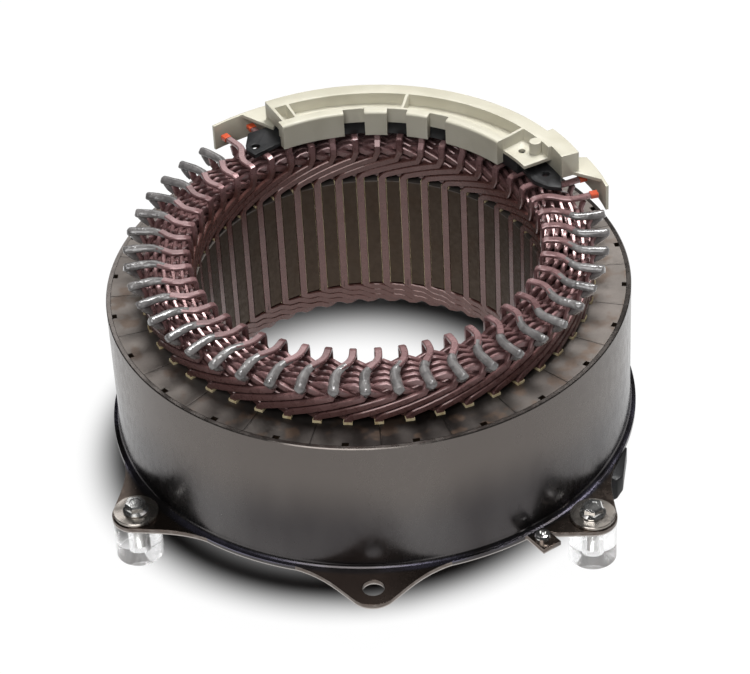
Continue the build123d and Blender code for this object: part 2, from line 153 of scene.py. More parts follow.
class Wave:
    """A number in a shader tree. Sums and products of it add Math nodes."""

    def __init__(self, shader: "Shader", socket: bpy.types.NodeSocket) -> None:
        """Wrap a socket.

        Args:
            shader: The tree that it is in.
            socket: The output socket that carries the number.
        """
        self.shader = shader
        self.socket = socket

    def join(self, operation: str, *values: object) -> "Wave":
        """Add one Math node.

        Args:
            operation: The node's operation.
            values: Its inputs in order, as waves or plain numbers.

        Returns:
            The wave of its output.
        """
        node = self.shader.node("ShaderNodeMath", {"operation": operation}, *values)
        return Wave(self.shader, node.outputs[0])

    def __add__(self, other: object) -> "Wave":
        """Add."""
        return self.join("ADD", self, other)

    def __sub__(self, other: object) -> "Wave":
        """Subtract."""
        return self.join("SUBTRACT", self, other)

    def __rsub__(self, other: object) -> "Wave":
        """Subtract from a number."""
        return self.join("SUBTRACT", other, self)

    def __mul__(self, other: object) -> "Wave":
        """Multiply."""
        return self.join("MULTIPLY", self, other)

    def __truediv__(self, other: object) -> "Wave":
        """Divide."""
        return self.join("DIVIDE", self, other)

    def __rtruediv__(self, other: object) -> "Wave":
        """Divide a number by this."""
        return self.join("DIVIDE", other, self)

    def __pow__(self, other: object) -> "Wave":
        """Raise to a power."""
        return self.join("POWER", self, other)

    __radd__ = __add__
    __rmul__ = __mul__

    def step(self, low: float, high: float, start: float = 0.0, end: float = 1.0) -> "Wave":
        """Map a stretch of values to another, smoothly and clamped.

        Args:
            low: Where the stretch begins.
            high: Where it ends.
            start: Result at the beginning.
            end: Result at the end.

        Returns:
            The mapped wave.
        """
        node = self.shader.node(
            "ShaderNodeMapRange", {"interpolation_type": "SMOOTHSTEP"}, self, low, high, start, end
        )
        return Wave(self.shader, node.outputs[0])

    def sine(self) -> "Wave":
        """Take the sine."""
        return self.join("SINE", self)

    def size(self) -> "Wave":
        """Take the size without the sign."""
        return self.join("ABSOLUTE", self)


class Shader:
    """One material's tree, with short ways to add its nodes."""

    def __init__(self, name: str) -> None:
        """Start a material.

        Args:
            name: The material's name.
        """
        self.material = bpy.data.materials.new(name)
        self.material.use_nodes = True
        self.tree = self.material.node_tree
        self.surface = self.tree.nodes["Principled BSDF"]
        self.object_place = self.node("ShaderNodeTexCoord").outputs["Object"]

    def node(
        self, kind: str, settings: dict | None = None, *values: object, **named: object
    ) -> bpy.types.Node:
        """Add any node.

        Args:
            kind: The node's type.
            settings: Its properties by name.
            values: Its first inputs in order, as waves, sockets or plain values; None leaves one as it is.
            named: Further inputs by name, with an underscore for a blank.

        Returns:
            The new node.
        """
        made = self.tree.nodes.new(kind)
        for key, value in (settings or {}).items():
            setattr(made, key, value)
        pairs = list(zip(made.inputs, values)) + [
            (made.inputs[key.replace("_", " ")], value) for key, value in named.items()
        ]
        for socket, value in pairs:
            self.feed(socket, value)
        return made

    def feed(self, socket: bpy.types.NodeSocket, value: object) -> None:
        """Give an input its value or link.

        Args:
            socket: The input.
            value: A wave, an output socket, a plain value, or None to leave it.
        """
        if isinstance(value, Wave):
            self.tree.links.new(value.socket, socket)
        elif isinstance(value, bpy.types.NodeSocket):
            self.tree.links.new(value, socket)
        elif value is not None:
            socket.default_value = value

    def axes(self) -> tuple:
        """Split the object place.

        Returns:
            Waves of x, y and z in metres.
        """
        split = self.node("ShaderNodeSeparateXYZ", None, self.object_place)
        return tuple(Wave(self, output) for output in split.outputs)

    def turn(self) -> "Wave":
        """Find the angle round the axis.

        Returns:
            The angle in radians.
        """
        x, y, _ = self.axes()
        return x.join("ARCTAN2", y, x)

    def noise(
        self, scale: float, detail: float = 2.0, stretch: tuple = (1.0, 1.0, 1.0), rough: float = 0.5
    ) -> Wave:
        """Add noise over the object place.

        Args:
            scale: Bumps in a metre.
            detail: Octaves.
            stretch: Factors on the three axes.
            rough: Share of the finer octaves.

        Returns:
            The noise, from about 0.3 to 0.7.
        """
        place = self.node("ShaderNodeVectorMath", {"operation": "MULTIPLY"}, self.object_place, stretch)
        made = self.node(
            "ShaderNodeTexNoise", None, place.outputs[0], Scale=scale, Detail=detail, Roughness=rough
        )
        return Wave(self, made.outputs[0])

    def tint(self) -> Wave:
        """Read the small number that each repeated wire carries.

        Returns:
            A wave from 0 to 1.
        """
        made = self.node("ShaderNodeAttribute", {"attribute_name": "tint"})
        return Wave(self, made.outputs["Fac"])

    def mix(self, factor: object, first: object, second: object) -> bpy.types.NodeSocket:
        """Mix two colours.

        Args:
            factor: Share of the second.
            first: Colour or socket.
            second: Colour or socket.

        Returns:
            The mixed colour's socket.
        """
        made = self.node("ShaderNodeMix", {"data_type": "RGBA"})
        self.feed(made.inputs[0], factor)
        self.feed(made.inputs[6], rgb(first))
        self.feed(made.inputs[7], rgb(second))
        return made.outputs[2]

    def bump(self, height: Wave, depth: float, strength: float = 1.0) -> None:
        """Feed the surface's normal with a relief.

        Args:
            height: Wave of the relief.
            depth: Its depth in metres for a height of 1.
            strength: Share of it that is used.
        """
        made = self.node("ShaderNodeBump", None, Strength=strength, Distance=depth, Height=height)
        self.feed(self.surface.inputs["Normal"], made.outputs[0])

    def paint(self, **inputs: object) -> bpy.types.Material:
        """Set the surface's inputs.

        Args:
            inputs: Values or links by name, with an underscore for a blank.

        Returns:
            The finished material.
        """
        for key, value in inputs.items():
            self.feed(self.surface.inputs[key.replace("_", " ")], rgb(value))
        return self.material


def rgb(value: object) -> object:
    """Complete a colour of three numbers.

    Args:
        value: A colour, or anything else.

    Returns:
        The colour with its fourth number, or the value as it was.
    """
    return (*value, 1.0) if isinstance(value, tuple) and len(value) == 3 else value


@dataclass(frozen=True)
class SteelCore:
    """Laminated steel: dull grey-brown and stained, with the joints of its segments and sheet lines; painted
    light makes the top paler at the sides and back and darker at the front, and painted shade darkens the
    bore.
    """

    # bright and dark are painted light and painted shade on the top: lit at the sides and back, shaded at the
    # front
    bright: tuple = (0.235, 0.21, 0.19)
    dark: tuple = (0.008, 0.006, 0.005)
    rust: tuple = (0.13, 0.08, 0.05)
    # Painted shade: the colour of the faces below the top, in the bore
    bore: tuple = (0.052, 0.032, 0.018)
    seam_dirt: tuple = (0.012, 0.01, 0.009)
    sheet_edge: tuple = (0.07, 0.055, 0.05)
    sheet: float = 0.35 * MM
    shaded_side_heights: tuple = (35.1 * MM, 34.3 * MM)
    seam_widths: tuple = (0.035, 0.008)
    seam_pitch: float = 15.0
    first_seam: float = 0.84

    def material(self) -> bpy.types.Material:
        """Make the material.

        Returns:
            The material.
        """
        shader = Shader("core_steel_sheets")
        x, y, z = shader.axes()
        clouds = shader.noise(38.0, 3.0)
        specks = shader.noise(420.0, 3.0, rough=0.65)
        # Painted light: paler towards the sides and back, with painted shade at the front
        side = (x.size() * 7.0 + y * 4.0 + 0.3).step(0.0, 1.0)
        base = shader.mix(side * 0.75 + clouds.step(0.35, 0.7) * 0.25, self.dark, self.bright)
        stained = shader.mix(shader.noise(95.0, 2.0).step(0.52, 0.68) * 0.55, base, self.rust)
        lines = (z / self.sheet * (2.0 * math.pi)).sine() * 0.5 + 0.5
        band = shader.noise(900.0, 1.0, (0.02, 0.02, 1.0))
        lined = shader.mix(lines * 0.3 + band.step(0.35, 0.7) * 0.3, stained, self.sheet_edge)
        phase = (shader.turn() - math.radians(self.first_seam)) * (180.0 / self.seam_pitch)
        seam = phase.sine().size().step(*self.seam_widths)
        seamed = shader.mix(seam * 0.85, lined, self.seam_dirt)
        # Painted shade: darker below the top face, in the bore
        colour = shader.mix(z.step(*self.shaded_side_heights) * 0.9, seamed, self.bore)
        shader.bump(specks * 0.6 + clouds + lines * 0.3 - seam * 2.0, 0.12 * MM, 0.6)
        rough = specks.step(0.3, 0.7, 0.42, 0.62)
        return shader.paint(Base_Color=colour, Metallic=0.75, Roughness=rough)


@dataclass(frozen=True)
class PressedSteel:
    """Pressed ring: dark and half glossy, with painted sheen in upright bands, painted light paler above,
    brown on the ears, a painted bluish-purple sheen on the flare and a painted highlight along the lower lip.
    """

    # dark and pale are a painted sheen: upright paler bands on the wall
    dark: tuple = (0.05, 0.045, 0.046)
    pale: tuple = (0.11, 0.104, 0.103)
    # Painted light: the paler, browner colour of the upper wall
    top: tuple = (0.15, 0.132, 0.12)
    brown: tuple = (0.1, 0.075, 0.06)
    # Painted highlight: the bright colour along the lower lip
    edge: tuple = (0.5, 0.47, 0.45)
    # Painted sheen: the pale bluish-purple colour on the flare
    violet_sheen: tuple = (0.2, 0.19, 0.3)
    lit_belt_heights: tuple = (-10.0 * MM, 30.0 * MM)
    ear_radii: tuple = (143.5 * MM, 146.0 * MM)
    flare_inner: tuple = (140.2 * MM, 141.2 * MM)
    flare_outer: tuple = (144.5 * MM, 143.5 * MM)
    flare_heights: tuple = (-45.0 * MM, -44.5 * MM)
    lip_highlight_radii: tuple = (142.6 * MM, 142.9 * MM)
    lip_highlight_heights: tuple = (-46.0 * MM, -46.6 * MM)

    def material(self) -> bpy.types.Material:
        """Make the material.

        Returns:
            The material.
        """
        shader = Shader("pressed_ring_steel")
        x, y, z = shader.axes()
        clouds = shader.noise(14.0, 3.0, (1.0, 1.0, 0.35))
        fine = shader.noise(260.0, 3.0, (1.0, 1.0, 0.6), 0.6)
        # Painted light: the wall turns paler towards the top
        lit_belt = (z + clouds * (30.0 * MM)).step(*self.lit_belt_heights)
        # Painted sheen: upright paler bands, from noise stretched along the axis
        base = shader.mix(clouds.step(0.34, 0.66), self.dark, self.pale)
        lit_above = shader.mix(lit_belt * 0.8, base, self.top)
        radius = (x * x + y * y) ** 0.5
        ears = radius.step(*self.ear_radii)
        browned = shader.mix(ears * 0.8, lit_above, self.brown)
        # Painted sheen: pale bluish-purple patches on the flare
        flare = radius.step(*self.flare_inner) * radius.step(*self.flare_outer) * z.step(*self.flare_heights)
        tinted = shader.mix(flare * clouds.step(0.4, 0.55) * 0.45, browned, self.violet_sheen)
        # Painted highlight along the lower side of the lip
        lip = radius.step(*self.lip_highlight_radii) * z.step(*self.lip_highlight_heights)
        colour = shader.mix(lip * 0.8, tinted, self.edge)
        shader.bump(fine + clouds * 0.8, 0.05 * MM, 0.5)
        rough = clouds.step(0.3, 0.7, 0.2, 0.3) + fine.step(0.3, 0.7, -0.03, 0.05)
        return shader.paint(Base_Color=colour, Metallic=0.9, Roughness=rough)


@dataclass(frozen=True)
class CutEdge:
    """Cut edge of the pressed flange, with a painted highlight along its lower side."""

    # The bright colour is a painted highlight along the lower side of the edge
    bright: tuple = (0.6, 0.56, 0.53)
    plain_edge: tuple = (0.14, 0.115, 0.1)
    highlight_heights: tuple = (-45.8 * MM, -46.6 * MM)

    def material(self) -> bpy.types.Material:
        """Make the material.

        Returns:
            The material.
        """
        shader = Shader("cut_edge_steel")
        _, _, z = shader.axes()
        streaks = shader.noise(240.0, 3.0, (1.0, 1.0, 3.0))
        # Painted highlight: the band along the lower side of the edge is bright
        low = z.step(*self.highlight_heights)
        colour = shader.mix(low * 0.75 + streaks.step(0.45, 0.7) * 0.2, self.plain_edge, self.bright)
        shader.bump(streaks, 0.05 * MM, 0.5)
        return shader.paint(Base_Color=colour, Metallic=0.85, Roughness=streaks.step(0.3, 0.7, 0.26, 0.42))


@dataclass(frozen=True)
class Enamel:
    """Enamelled copper: pink to mauve and glossy, with painted shade in the bore, where the light is low,
    below the bridges and more on the lower wires.
    """

    pale: tuple = (0.315, 0.183, 0.184)
    deep: tuple = (0.12, 0.058, 0.058)
    # Painted shade: the colour of the bore and of the lower parts of the winding
    bore: tuple = (0.1, 0.036, 0.026)
    bore_shade_radii: tuple = (96.5 * MM, 93.5 * MM)
    bore_shade_heights: tuple = (60.0 * MM, 52.0 * MM)
    dim_heights: tuple = (60.0 * MM, 45.0 * MM)
    lower_shade_heights: tuple = (-30.0 * MM, -40.0 * MM)

    def material(self) -> bpy.types.Material:
        """Make the material.

        Returns:
            The material.
        """
        shader = Shader("enamelled_copper")
        x, y, z = shader.axes()
        radius = (x * x + y * y) ** 0.5
        mottle = shader.noise(120.0, 2.0)
        base = shader.mix(shader.tint() * 0.55 + mottle.step(0.3, 0.7) * 0.35, self.pale, self.deep)
        # Painted shade: darker in the bore, below the bridges and more on the lower wires
        inner = radius.step(*self.bore_shade_radii) * z.step(*self.bore_shade_heights)
        low = z.step(*self.dim_heights, 0.0, 0.55) + z.step(*self.lower_shade_heights, 0.0, 0.35)
        colour = shader.mix(inner.join("MAXIMUM", inner * 0.8, low), base, self.bore)
        shader.bump(mottle, 0.08 * MM, 0.4)
        rough = shader.noise(300.0, 2.0).step(0.3, 0.7, 0.24, 0.36)
        return shader.paint(Base_Color=colour, Metallic=0.35, Roughness=rough, Coat_Weight=0.4)


@dataclass(frozen=True)
class Epoxy:
    """Dipped epoxy: grey and wet-looking, with drips and dimples."""

    pale: tuple = (0.2, 0.19, 0.187)
    dark: tuple = (0.1, 0.094, 0.093)

    def material(self) -> bpy.types.Material:
        """Make the material.

        Returns:
            The material.
        """
        shader = Shader("dipped_epoxy")
        lumps = shader.noise(230.0, 2.0)
        pores = shader.noise(900.0, 2.0)
        factor = shader.tint() * 0.35 + lumps.step(0.35, 0.68) * 0.65
        colour = shader.mix(factor, self.pale, self.dark)
        shader.bump(lumps + pores * 0.22, 1.1 * MM, 0.8)
        rough = pores.step(0.3, 0.7, 0.08, 0.17)
        return shader.paint(Base_Color=colour, Roughness=rough, Coat_Weight=0.6)


@dataclass(frozen=True)
class Paper:
    """Yellowish insulating paper."""

    pale: tuple = (0.86, 0.74, 0.47)
    dark: tuple = (0.6, 0.46, 0.24)

    def material(self) -> bpy.types.Material:
        """Make the material.

        Returns:
            The material.
        """
        shader = Shader("insulating_paper")
        fibres = shader.noise(380.0, 3.0, (1.0, 1.0, 0.4))
        colour = shader.mix(fibres.step(0.35, 0.72), self.pale, self.dark)
        shader.bump(fibres, 0.1 * MM, 0.4)
        return shader.paint(Base_Color=colour, Roughness=fibres.step(0.3, 0.7, 0.5, 0.7))


@dataclass(frozen=True)
class Plastic:
    """Moulded plastic with a fine grain and slight cloudiness."""

    name: str
    colour: tuple
    shade: tuple
    roughness: float = 0.42
    grain: float = 0.05 * MM
    gloss: float = 0.5

    def material(self) -> bpy.types.Material:
        """Make the material.

        Returns:
            The material.
        """
        shader = Shader(self.name)
        clouds = shader.noise(55.0, 2.0)
        grain = shader.noise(1500.0, 2.0)
        colour = shader.mix(clouds.step(0.35, 0.7), self.colour, self.shade)
        shader.bump(grain + clouds * 0.6, self.grain, 0.5)
        rough = grain.step(0.3, 0.7, self.roughness - 0.05, self.roughness + 0.07)
        return shader.paint(Base_Color=colour, Roughness=rough, Specular_IOR_Level=self.gloss)


@dataclass(frozen=True)
class Plated:
    """Plated steel, bright and slightly stained."""

    name: str
    bright: tuple
    stain: tuple
    roughness: float = 0.26
    metal: float = 0.95

    def material(self) -> bpy.types.Material:
        """Make the material.

        Returns:
            The material.
        """
        shader = Shader(self.name)
        stains = shader.noise(110.0, 2.0)
        scratches = shader.noise(1400.0, 2.0, (1.0, 0.3, 1.0))
        colour = shader.mix(stains.step(0.4, 0.72), self.bright, self.stain)
        shader.bump(scratches + stains * 0.7, 0.04 * MM, 0.6)
        rough = stains.step(0.3, 0.7, self.roughness - 0.05, self.roughness + 0.1)
        return shader.paint(Base_Color=colour, Metallic=self.metal, Roughness=rough)


@dataclass(frozen=True)
class Acrylic:
    """Clear cast acrylic with fine machining marks and a faint painted glow."""

    colour: tuple = (0.97, 0.975, 0.98)
    mark: tuple = (0.93, 0.935, 0.94)
    passed: tuple = (0.97, 0.97, 0.97, 1.0)
    plain_share: float = 0.15
    painted_glow: tuple = (0.95, 0.9, 0.86)

    def material(self) -> bpy.types.Material:
        """Make the material.

        Returns:
            The material.
        """
        shader = Shader("clear_cast_acrylic")
        marks = shader.noise(500.0, 2.0, (1.0, 1.0, 4.0))
        shader.bump(marks, 0.05 * MM, 0.1)
        rough = marks.step(0.3, 0.7, 0.0, 0.03)
        colour = shader.mix(marks.step(0.3, 0.7), self.colour, self.mark)
        # The faint emission is a painted glow that lifts the clear feet
        material = shader.paint(
            Base_Color=colour, Roughness=rough, Transmission_Weight=1.0, IOR=1.49,
            Emission_Color=self.painted_glow, Emission_Strength=0.03,
        )
        shadow = shader.node("ShaderNodeLightPath").outputs["Is Shadow Ray"]
        clear = shader.node("ShaderNodeBsdfTransparent", None, self.passed)
        share = Wave(shader, shadow) * (1.0 - self.plain_share) + self.plain_share
        both = shader.node("ShaderNodeMixShader", None, share, shader.surface.outputs[0], clear.outputs[0])
        shader.feed(shader.tree.nodes["Material Output"].inputs["Surface"], both.outputs[0])
        return material


class Finishes:
    """All the materials, made once."""

    def __init__(self) -> None:
        """Make the materials."""
        self.core = SteelCore().material()
        self.ring = PressedSteel().material()
        self.edge = CutEdge().material()
        self.wire = Enamel().material()
        self.epoxy = Epoxy().material()
        self.paper = Paper().material()
        self.ivory = Plastic("ivory_moulding", (0.55, 0.525, 0.43), (0.5, 0.475, 0.38)).material()
        self.black = Plastic(
            "black_moulding", (0.014, 0.014, 0.015), (0.025, 0.025, 0.026), 0.36, gloss=0.2
        ).material()
        self.sleeve = Plastic("red_cap", (0.58, 0.085, 0.03), (0.45, 0.06, 0.02), 0.4).material()
        self.zinc = Plated("bright_zinc", (0.9, 0.9, 0.89), (0.62, 0.61, 0.59), 0.12).material()
        self.washer = Plated("plated_washer", (0.42, 0.385, 0.35), (0.3, 0.27, 0.24), 0.24).material()
        self.acrylic = Acrylic().material()


def new_piece(
    name: str, mesh: bpy.types.Mesh, material: bpy.types.Material, slot: Slot, *nodes: str
) -> bpy.types.Object:
    """Place a finished mesh as a piece of the object.

    Args:
        name: The piece's name.
        mesh: Its mesh, in the shared frame.
        material: Its material, added where the mesh has none.
        slot: Its slot in the record; not used.
        nodes: The solid nodes that it stands for.

    Returns:
        The piece.
    """
    if not mesh.materials:
        mesh.materials.append(material)
    piece = bpy.data.objects.new(name, mesh)
    bpy.context.scene.collection.objects.link(piece)
    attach(piece, "root")
    if nodes:
        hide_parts(*nodes)
    log.info("%s: %d faces", name, len(mesh.polygons))
    return piece


def smooth(mesh: bpy.types.Mesh, angle: float = 35.0) -> bpy.types.Mesh:
    """Shade a mesh smooth, with sharp edges where it bends more than an angle.

    Args:
        mesh: The mesh.
        angle: The angle in degrees.

    Returns:
        The same mesh.
    """
    mesh.polygons.foreach_set("use_smooth", [True] * len(mesh.polygons))
    mesh.set_sharp_from_angle(angle=math.radians(angle))
    return mesh


def spline(points: list, steps: int) -> list:
    """Run a smooth curve through points.

    Args:
        points: The points, as vectors of any size.
        steps: Steps from each point to the next.

    Returns:
        The points along the curve.
    """
    ends = [2 * points[0] - points[1], *points, 2 * points[-1] - points[-2]]
    line = []
    for a, b, c, d in zip(ends, ends[1:], ends[2:], ends[3:]):
        for step in range(steps):
            t = step / steps
            square = 2 * a - 5 * b + 4 * c - d
            cube = 3 * b - a - 3 * c + d
            line.append(0.5 * (2 * b + (c - a) * t + square * t * t + cube * t ** 3))
    return [*line, points[-1]]


@dataclass
class Ribbon:
    """A bar swept along a line. Each point has a place, a side, a width and a thickness."""

    corner: float = 0.22
    places: list = field(default_factory=list)
    sides: list = field(default_factory=list)
    spans: list = field(default_factory=list)

    def add(self, place: Vector, side: Vector, width: float, thickness: float) -> None:
        """Add one point.

        Args:
            place: The middle of the bar.
            side: Direction of its thickness.
            width: Its width.
            thickness: Its thickness.
        """
        self.places.append(place.copy())
        self.sides.append(side.normalized())
        self.spans.append((width, thickness))

    def rings(self) -> list:
        """Work out the bar's sections.

        Returns:
            One list of corner points for each place.
        """
        rings = []
        last = len(self.places) - 1
        sections = zip(self.places, self.sides, self.spans)
        for index, (place, side, (width, thickness)) in enumerate(sections):
            ahead = self.places[min(index + 1, last)] - self.places[max(index - 1, 0)]
            across = ahead.normalized().cross(side).normalized()
            lift = across.cross(ahead.normalized())
            w, t = width / 2, thickness / 2
            c = min(w, t) * 2 * self.corner
            half = [(w, c - t), (w, t - c), (w - c, t), (c - w, t)]
            shape = half + [(-a, -b) for a, b in half]
            rings.append([place + across * a + lift * b for a, b in shape])
        return rings

    def mesh(self, name: str) -> bpy.types.Mesh:
        """Skin the bar.

        Args:
            name: The mesh's name.

        Returns:
            A closed mesh.
        """
        return skin(name, [self.rings()])


def skin(name: str, bars: list) -> bpy.types.Mesh:
    """Skin bars given as lists of rings, each closed at both ends.

    Args:
        name: The mesh's name.
        bars: For each bar its rings, all with as many points.

    Returns:
        The mesh of all the bars.
    """
    points, faces = [], []
    for rings in bars:
        first, count = len(points), len(rings[0])
        for ring in rings:
            points.extend(ring)
        for row in range(len(rings) - 1):
            start = first + row * count
            for i in range(count):
                j = (i + 1) % count
                faces.append((start + i, start + j, start + count + j, start + count + i))
        faces.append(tuple(range(first + count - 1, first - 1, -1)))
        faces.append(tuple(range(len(points) - count, len(points))))
    mesh = bpy.data.meshes.new(name)
    mesh.from_pydata(points, [], faces)
    outward(mesh)
    return mesh


def outward(mesh: bpy.types.Mesh) -> bpy.types.Mesh:
    """Turn all faces of closed shells outward.

    Args:
        mesh: The mesh.

    Returns:
        The same mesh.
    """
    work = bmesh.new()
    work.from_mesh(mesh)
    bmesh.ops.recalc_face_normals(work, faces=work.faces)
    work.to_mesh(mesh)
    work.free()
    return mesh


def lathe(name: str, profile: list, segments: int, middle: Vector, spin: float = 0.0) -> bpy.types.Mesh:
    """Turn a closed profile round an upright axis.

    Args:
        name: The mesh's name.
        profile: Corners as radius and height, round the section; radii above zero.
        segments: Steps of the turn.
        middle: A point of the axis, whose height is added.
        spin: Angle of the first step in degrees.

    Returns:
        A closed ring-shaped mesh.
    """
    points, faces = [], []
    count = len(profile)
    for step in range(segments):
        angle = spin + 360.0 * step / segments
        points.extend(middle + polar(radius, angle, height) for radius, height in profile)
    for step in range(segments):
        here, there = step * count, (step + 1) % segments * count
        for i in range(count):
            j = (i + 1) % count
            faces.append((here + i, here + j, there + j, there + i))
    mesh = bpy.data.meshes.new(name)
    mesh.from_pydata(points, [], faces)
    return outward(mesh)


def merge(name: str, meshes: list) -> bpy.types.Mesh:
    """Put meshes into one.

    Args:
        name: The new mesh's name.
        meshes: The meshes, which stay as they are.

    Returns:
        The new mesh, with no materials.
    """
    work = bmesh.new()
    for mesh in meshes:
        work.from_mesh(mesh)
    merged = bpy.data.meshes.new(name)
    work.to_mesh(merged)
    work.free()
    return merged


def bevelled(name: str, node: str, width: float, steps: int = 2) -> bpy.types.Mesh:
    """Copy a solid node with its edges rounded.

    Args:
        name: The mesh's name.
        node: The solid node.
        width: Width of the rounding.
        steps: Faces across it.

    Returns:
        The rounded copy, as a plain mesh.
    """
    work = bmesh.new()
    work.from_mesh(bpy.data.objects[node].data)
    bmesh.ops.remove_doubles(work, verts=work.verts, dist=0.002 * MM)
    bmesh.ops.dissolve_limit(
        work, angle_limit=math.radians(1.0), verts=work.verts, edges=work.edges
    )
    mesh = bpy.data.meshes.new(f"{name}_raw")
    work.to_mesh(mesh)
    work.free()
    holder = bpy.data.objects.new(f"{name}_raw", mesh)
    bpy.context.scene.collection.objects.link(holder)
    bevel = holder.modifiers.new("edge", "BEVEL")
    bevel.width = width
    bevel.segments = steps
    bevel.limit_method = "ANGLE"
    bevel.angle_limit = math.radians(32.0)
    bevel.use_clamp_overlap = True
    graph = bpy.context.evaluated_depsgraph_get()
    made = bpy.data.meshes.new_from_object(holder.evaluated_get(graph))
    made.name = name
    made.materials.clear()
    bpy.data.objects.remove(holder)
    return smooth(made, 32.0)


class PolarRow:
    """Geometry Nodes tree that sets out one mesh in a row round the axis."""

    def __init__(self) -> None:
        """Build the tree."""
        self.tree = bpy.data.node_groups.new("polar_row", "GeometryNodeTree")
        self.sockets = {}
        self.tree.interface.new_socket("Geometry", in_out="OUTPUT", socket_type="NodeSocketGeometry")
        for name, kind in (
            ("Geometry", "NodeSocketGeometry"),
            ("Count", "NodeSocketInt"),
            ("Start", "NodeSocketFloat"),
            ("Pitch", "NodeSocketFloat"),
            ("Lift", "NodeSocketFloat"),
            ("Sway", "NodeSocketFloat"),
            ("Seed", "NodeSocketInt"),
            ("Material", "NodeSocketMaterial"),
        ):
            socket = self.tree.interface.new_socket(name, in_out="INPUT", socket_type=kind)
            self.sockets[name] = socket.identifier
        ports = self.add("NodeGroupInput").outputs
        points = self.add("GeometryNodePoints", None, Count=ports["Count"])
        index = self.add("GeometryNodeInputIndex").outputs[0]
        sway = self.random(ports["Seed"], ports["Sway"])
        step = self.maths("MULTIPLY", index, ports["Pitch"])
        angle = self.maths("ADD", self.maths("ADD", step, ports["Start"]), sway)
        turn = self.add("ShaderNodeCombineXYZ", None, Z=angle)
        seed = self.maths("ADD", ports["Seed"], 17.0)
        rise = self.add("ShaderNodeCombineXYZ", None, Z=self.random(seed, ports["Lift"]))
        moved = self.add(
            "GeometryNodeSetPosition", None, Geometry=points.outputs[0], Position=rise.outputs[0]
        )
        placed = self.add(
            "GeometryNodeInstanceOnPoints",
            None,
            Points=moved.outputs[0],
            Instance=ports["Geometry"],
            Rotation=turn.outputs[0],
        )
        tint_seed = self.maths("ADD", ports["Seed"], 5.0)
        shade = self.add("FunctionNodeRandomValue", {"data_type": "FLOAT"}, Seed=tint_seed)
        stored = self.add(
            "GeometryNodeStoreNamedAttribute", {"data_type": "FLOAT", "domain": "INSTANCE"}, Name="tint"
        )
        self.link(placed.outputs[0], stored.inputs["Geometry"])
        values = [socket for socket in stored.inputs if socket.name == "Value" and socket.type == "VALUE"]
        self.link(shade.outputs[1], values[0])
        real = self.add("GeometryNodeRealizeInstances", None, Geometry=stored.outputs[0])
        dressed = self.add(
            "GeometryNodeSetMaterial", None, Geometry=real.outputs[0], Material=ports["Material"]
        )
        self.link(dressed.outputs[0], self.add("NodeGroupOutput").inputs[0])

    def add(self, kind: str, settings: dict | None = None, **inputs: object) -> bpy.types.Node:
        """Add a node.

        Args:
            kind: The node's type.
            settings: Its properties by name.
            inputs: Its inputs by name, as sockets or plain values.

        Returns:
            The new node.
        """
        made = self.tree.nodes.new(kind)
        for key, value in (settings or {}).items():
            setattr(made, key, value)
        for key, value in inputs.items():
            if isinstance(value, bpy.types.NodeSocket):
                self.link(value, made.inputs[key])
            else:
                made.inputs[key].default_value = value
        return made

    def link(self, source: bpy.types.NodeSocket, target: bpy.types.NodeSocket) -> None:
        """Link two sockets.

        Args:
            source: The output.
            target: The input.
        """
        self.tree.links.new(source, target)

    def maths(self, operation: str, first: object, second: object) -> bpy.types.NodeSocket:
        """Add one Math node.

        Args:
            operation: The node's operation.
            first: Its first input.
            second: Its second input.

        Returns:
            The result's socket.
        """
        made = self.tree.nodes.new("ShaderNodeMath")
        made.operation = operation
        for socket, value in zip(made.inputs, (first, second)):
            if isinstance(value, bpy.types.NodeSocket):
                self.link(value, socket)
            else:
                socket.default_value = value
        return made.outputs[0]

    def random(self, seed: bpy.types.NodeSocket, reach: bpy.types.NodeSocket) -> bpy.types.NodeSocket:
        """Draw a number for each point, to either side of zero.

        Args:
            seed: The seed's socket.
            reach: The largest size.

        Returns:
            The number's socket.
        """
        made = self.add("FunctionNodeRandomValue", {"data_type": "FLOAT"}, Seed=seed)
        low = self.maths("MULTIPLY", reach, -1.0)
        floats = [socket for socket in made.inputs if socket.type == "VALUE"]
        self.link(low, floats[0])
        self.link(reach, floats[1])
        return made.outputs[1]

    def lay(
        self, mesh: bpy.types.Mesh, count: int, start: float, pitch: float, seed: int,
        material: bpy.types.Material, lift: float = 0.0, sway: float = 0.0,
    ) -> bpy.types.Mesh:
        """Set a mesh out round the axis.

        Args:
            mesh: The mesh, as it stands at angle zero.
            count: How many.
            start: Angle of the first in degrees.
            pitch: Angle from one to the next.
            seed: Seed of the small differences.
            material: Material of the row.
            lift: Largest shift up or down.
            sway: Largest turn to either side in degrees.

        Returns:
            A plain mesh of the row, with each one's tint.
        """
        holder = bpy.data.objects.new(f"{mesh.name}_holder", mesh)
        bpy.context.scene.collection.objects.link(holder)
        row = holder.modifiers.new("row", "NODES")
        row.node_group = self.tree
        values = {
            "Count": count, "Start": math.radians(start), "Pitch": math.radians(pitch), "Seed": seed,
            "Material": material, "Lift": lift, "Sway": math.radians(sway),
        }
        for name, value in values.items():
            row[self.sockets[name]] = value
        graph = bpy.context.evaluated_depsgraph_get()
        made = bpy.data.meshes.new_from_object(holder.evaluated_get(graph))
        holder.modifiers.remove(row)
        bpy.data.objects.remove(holder)
        return made


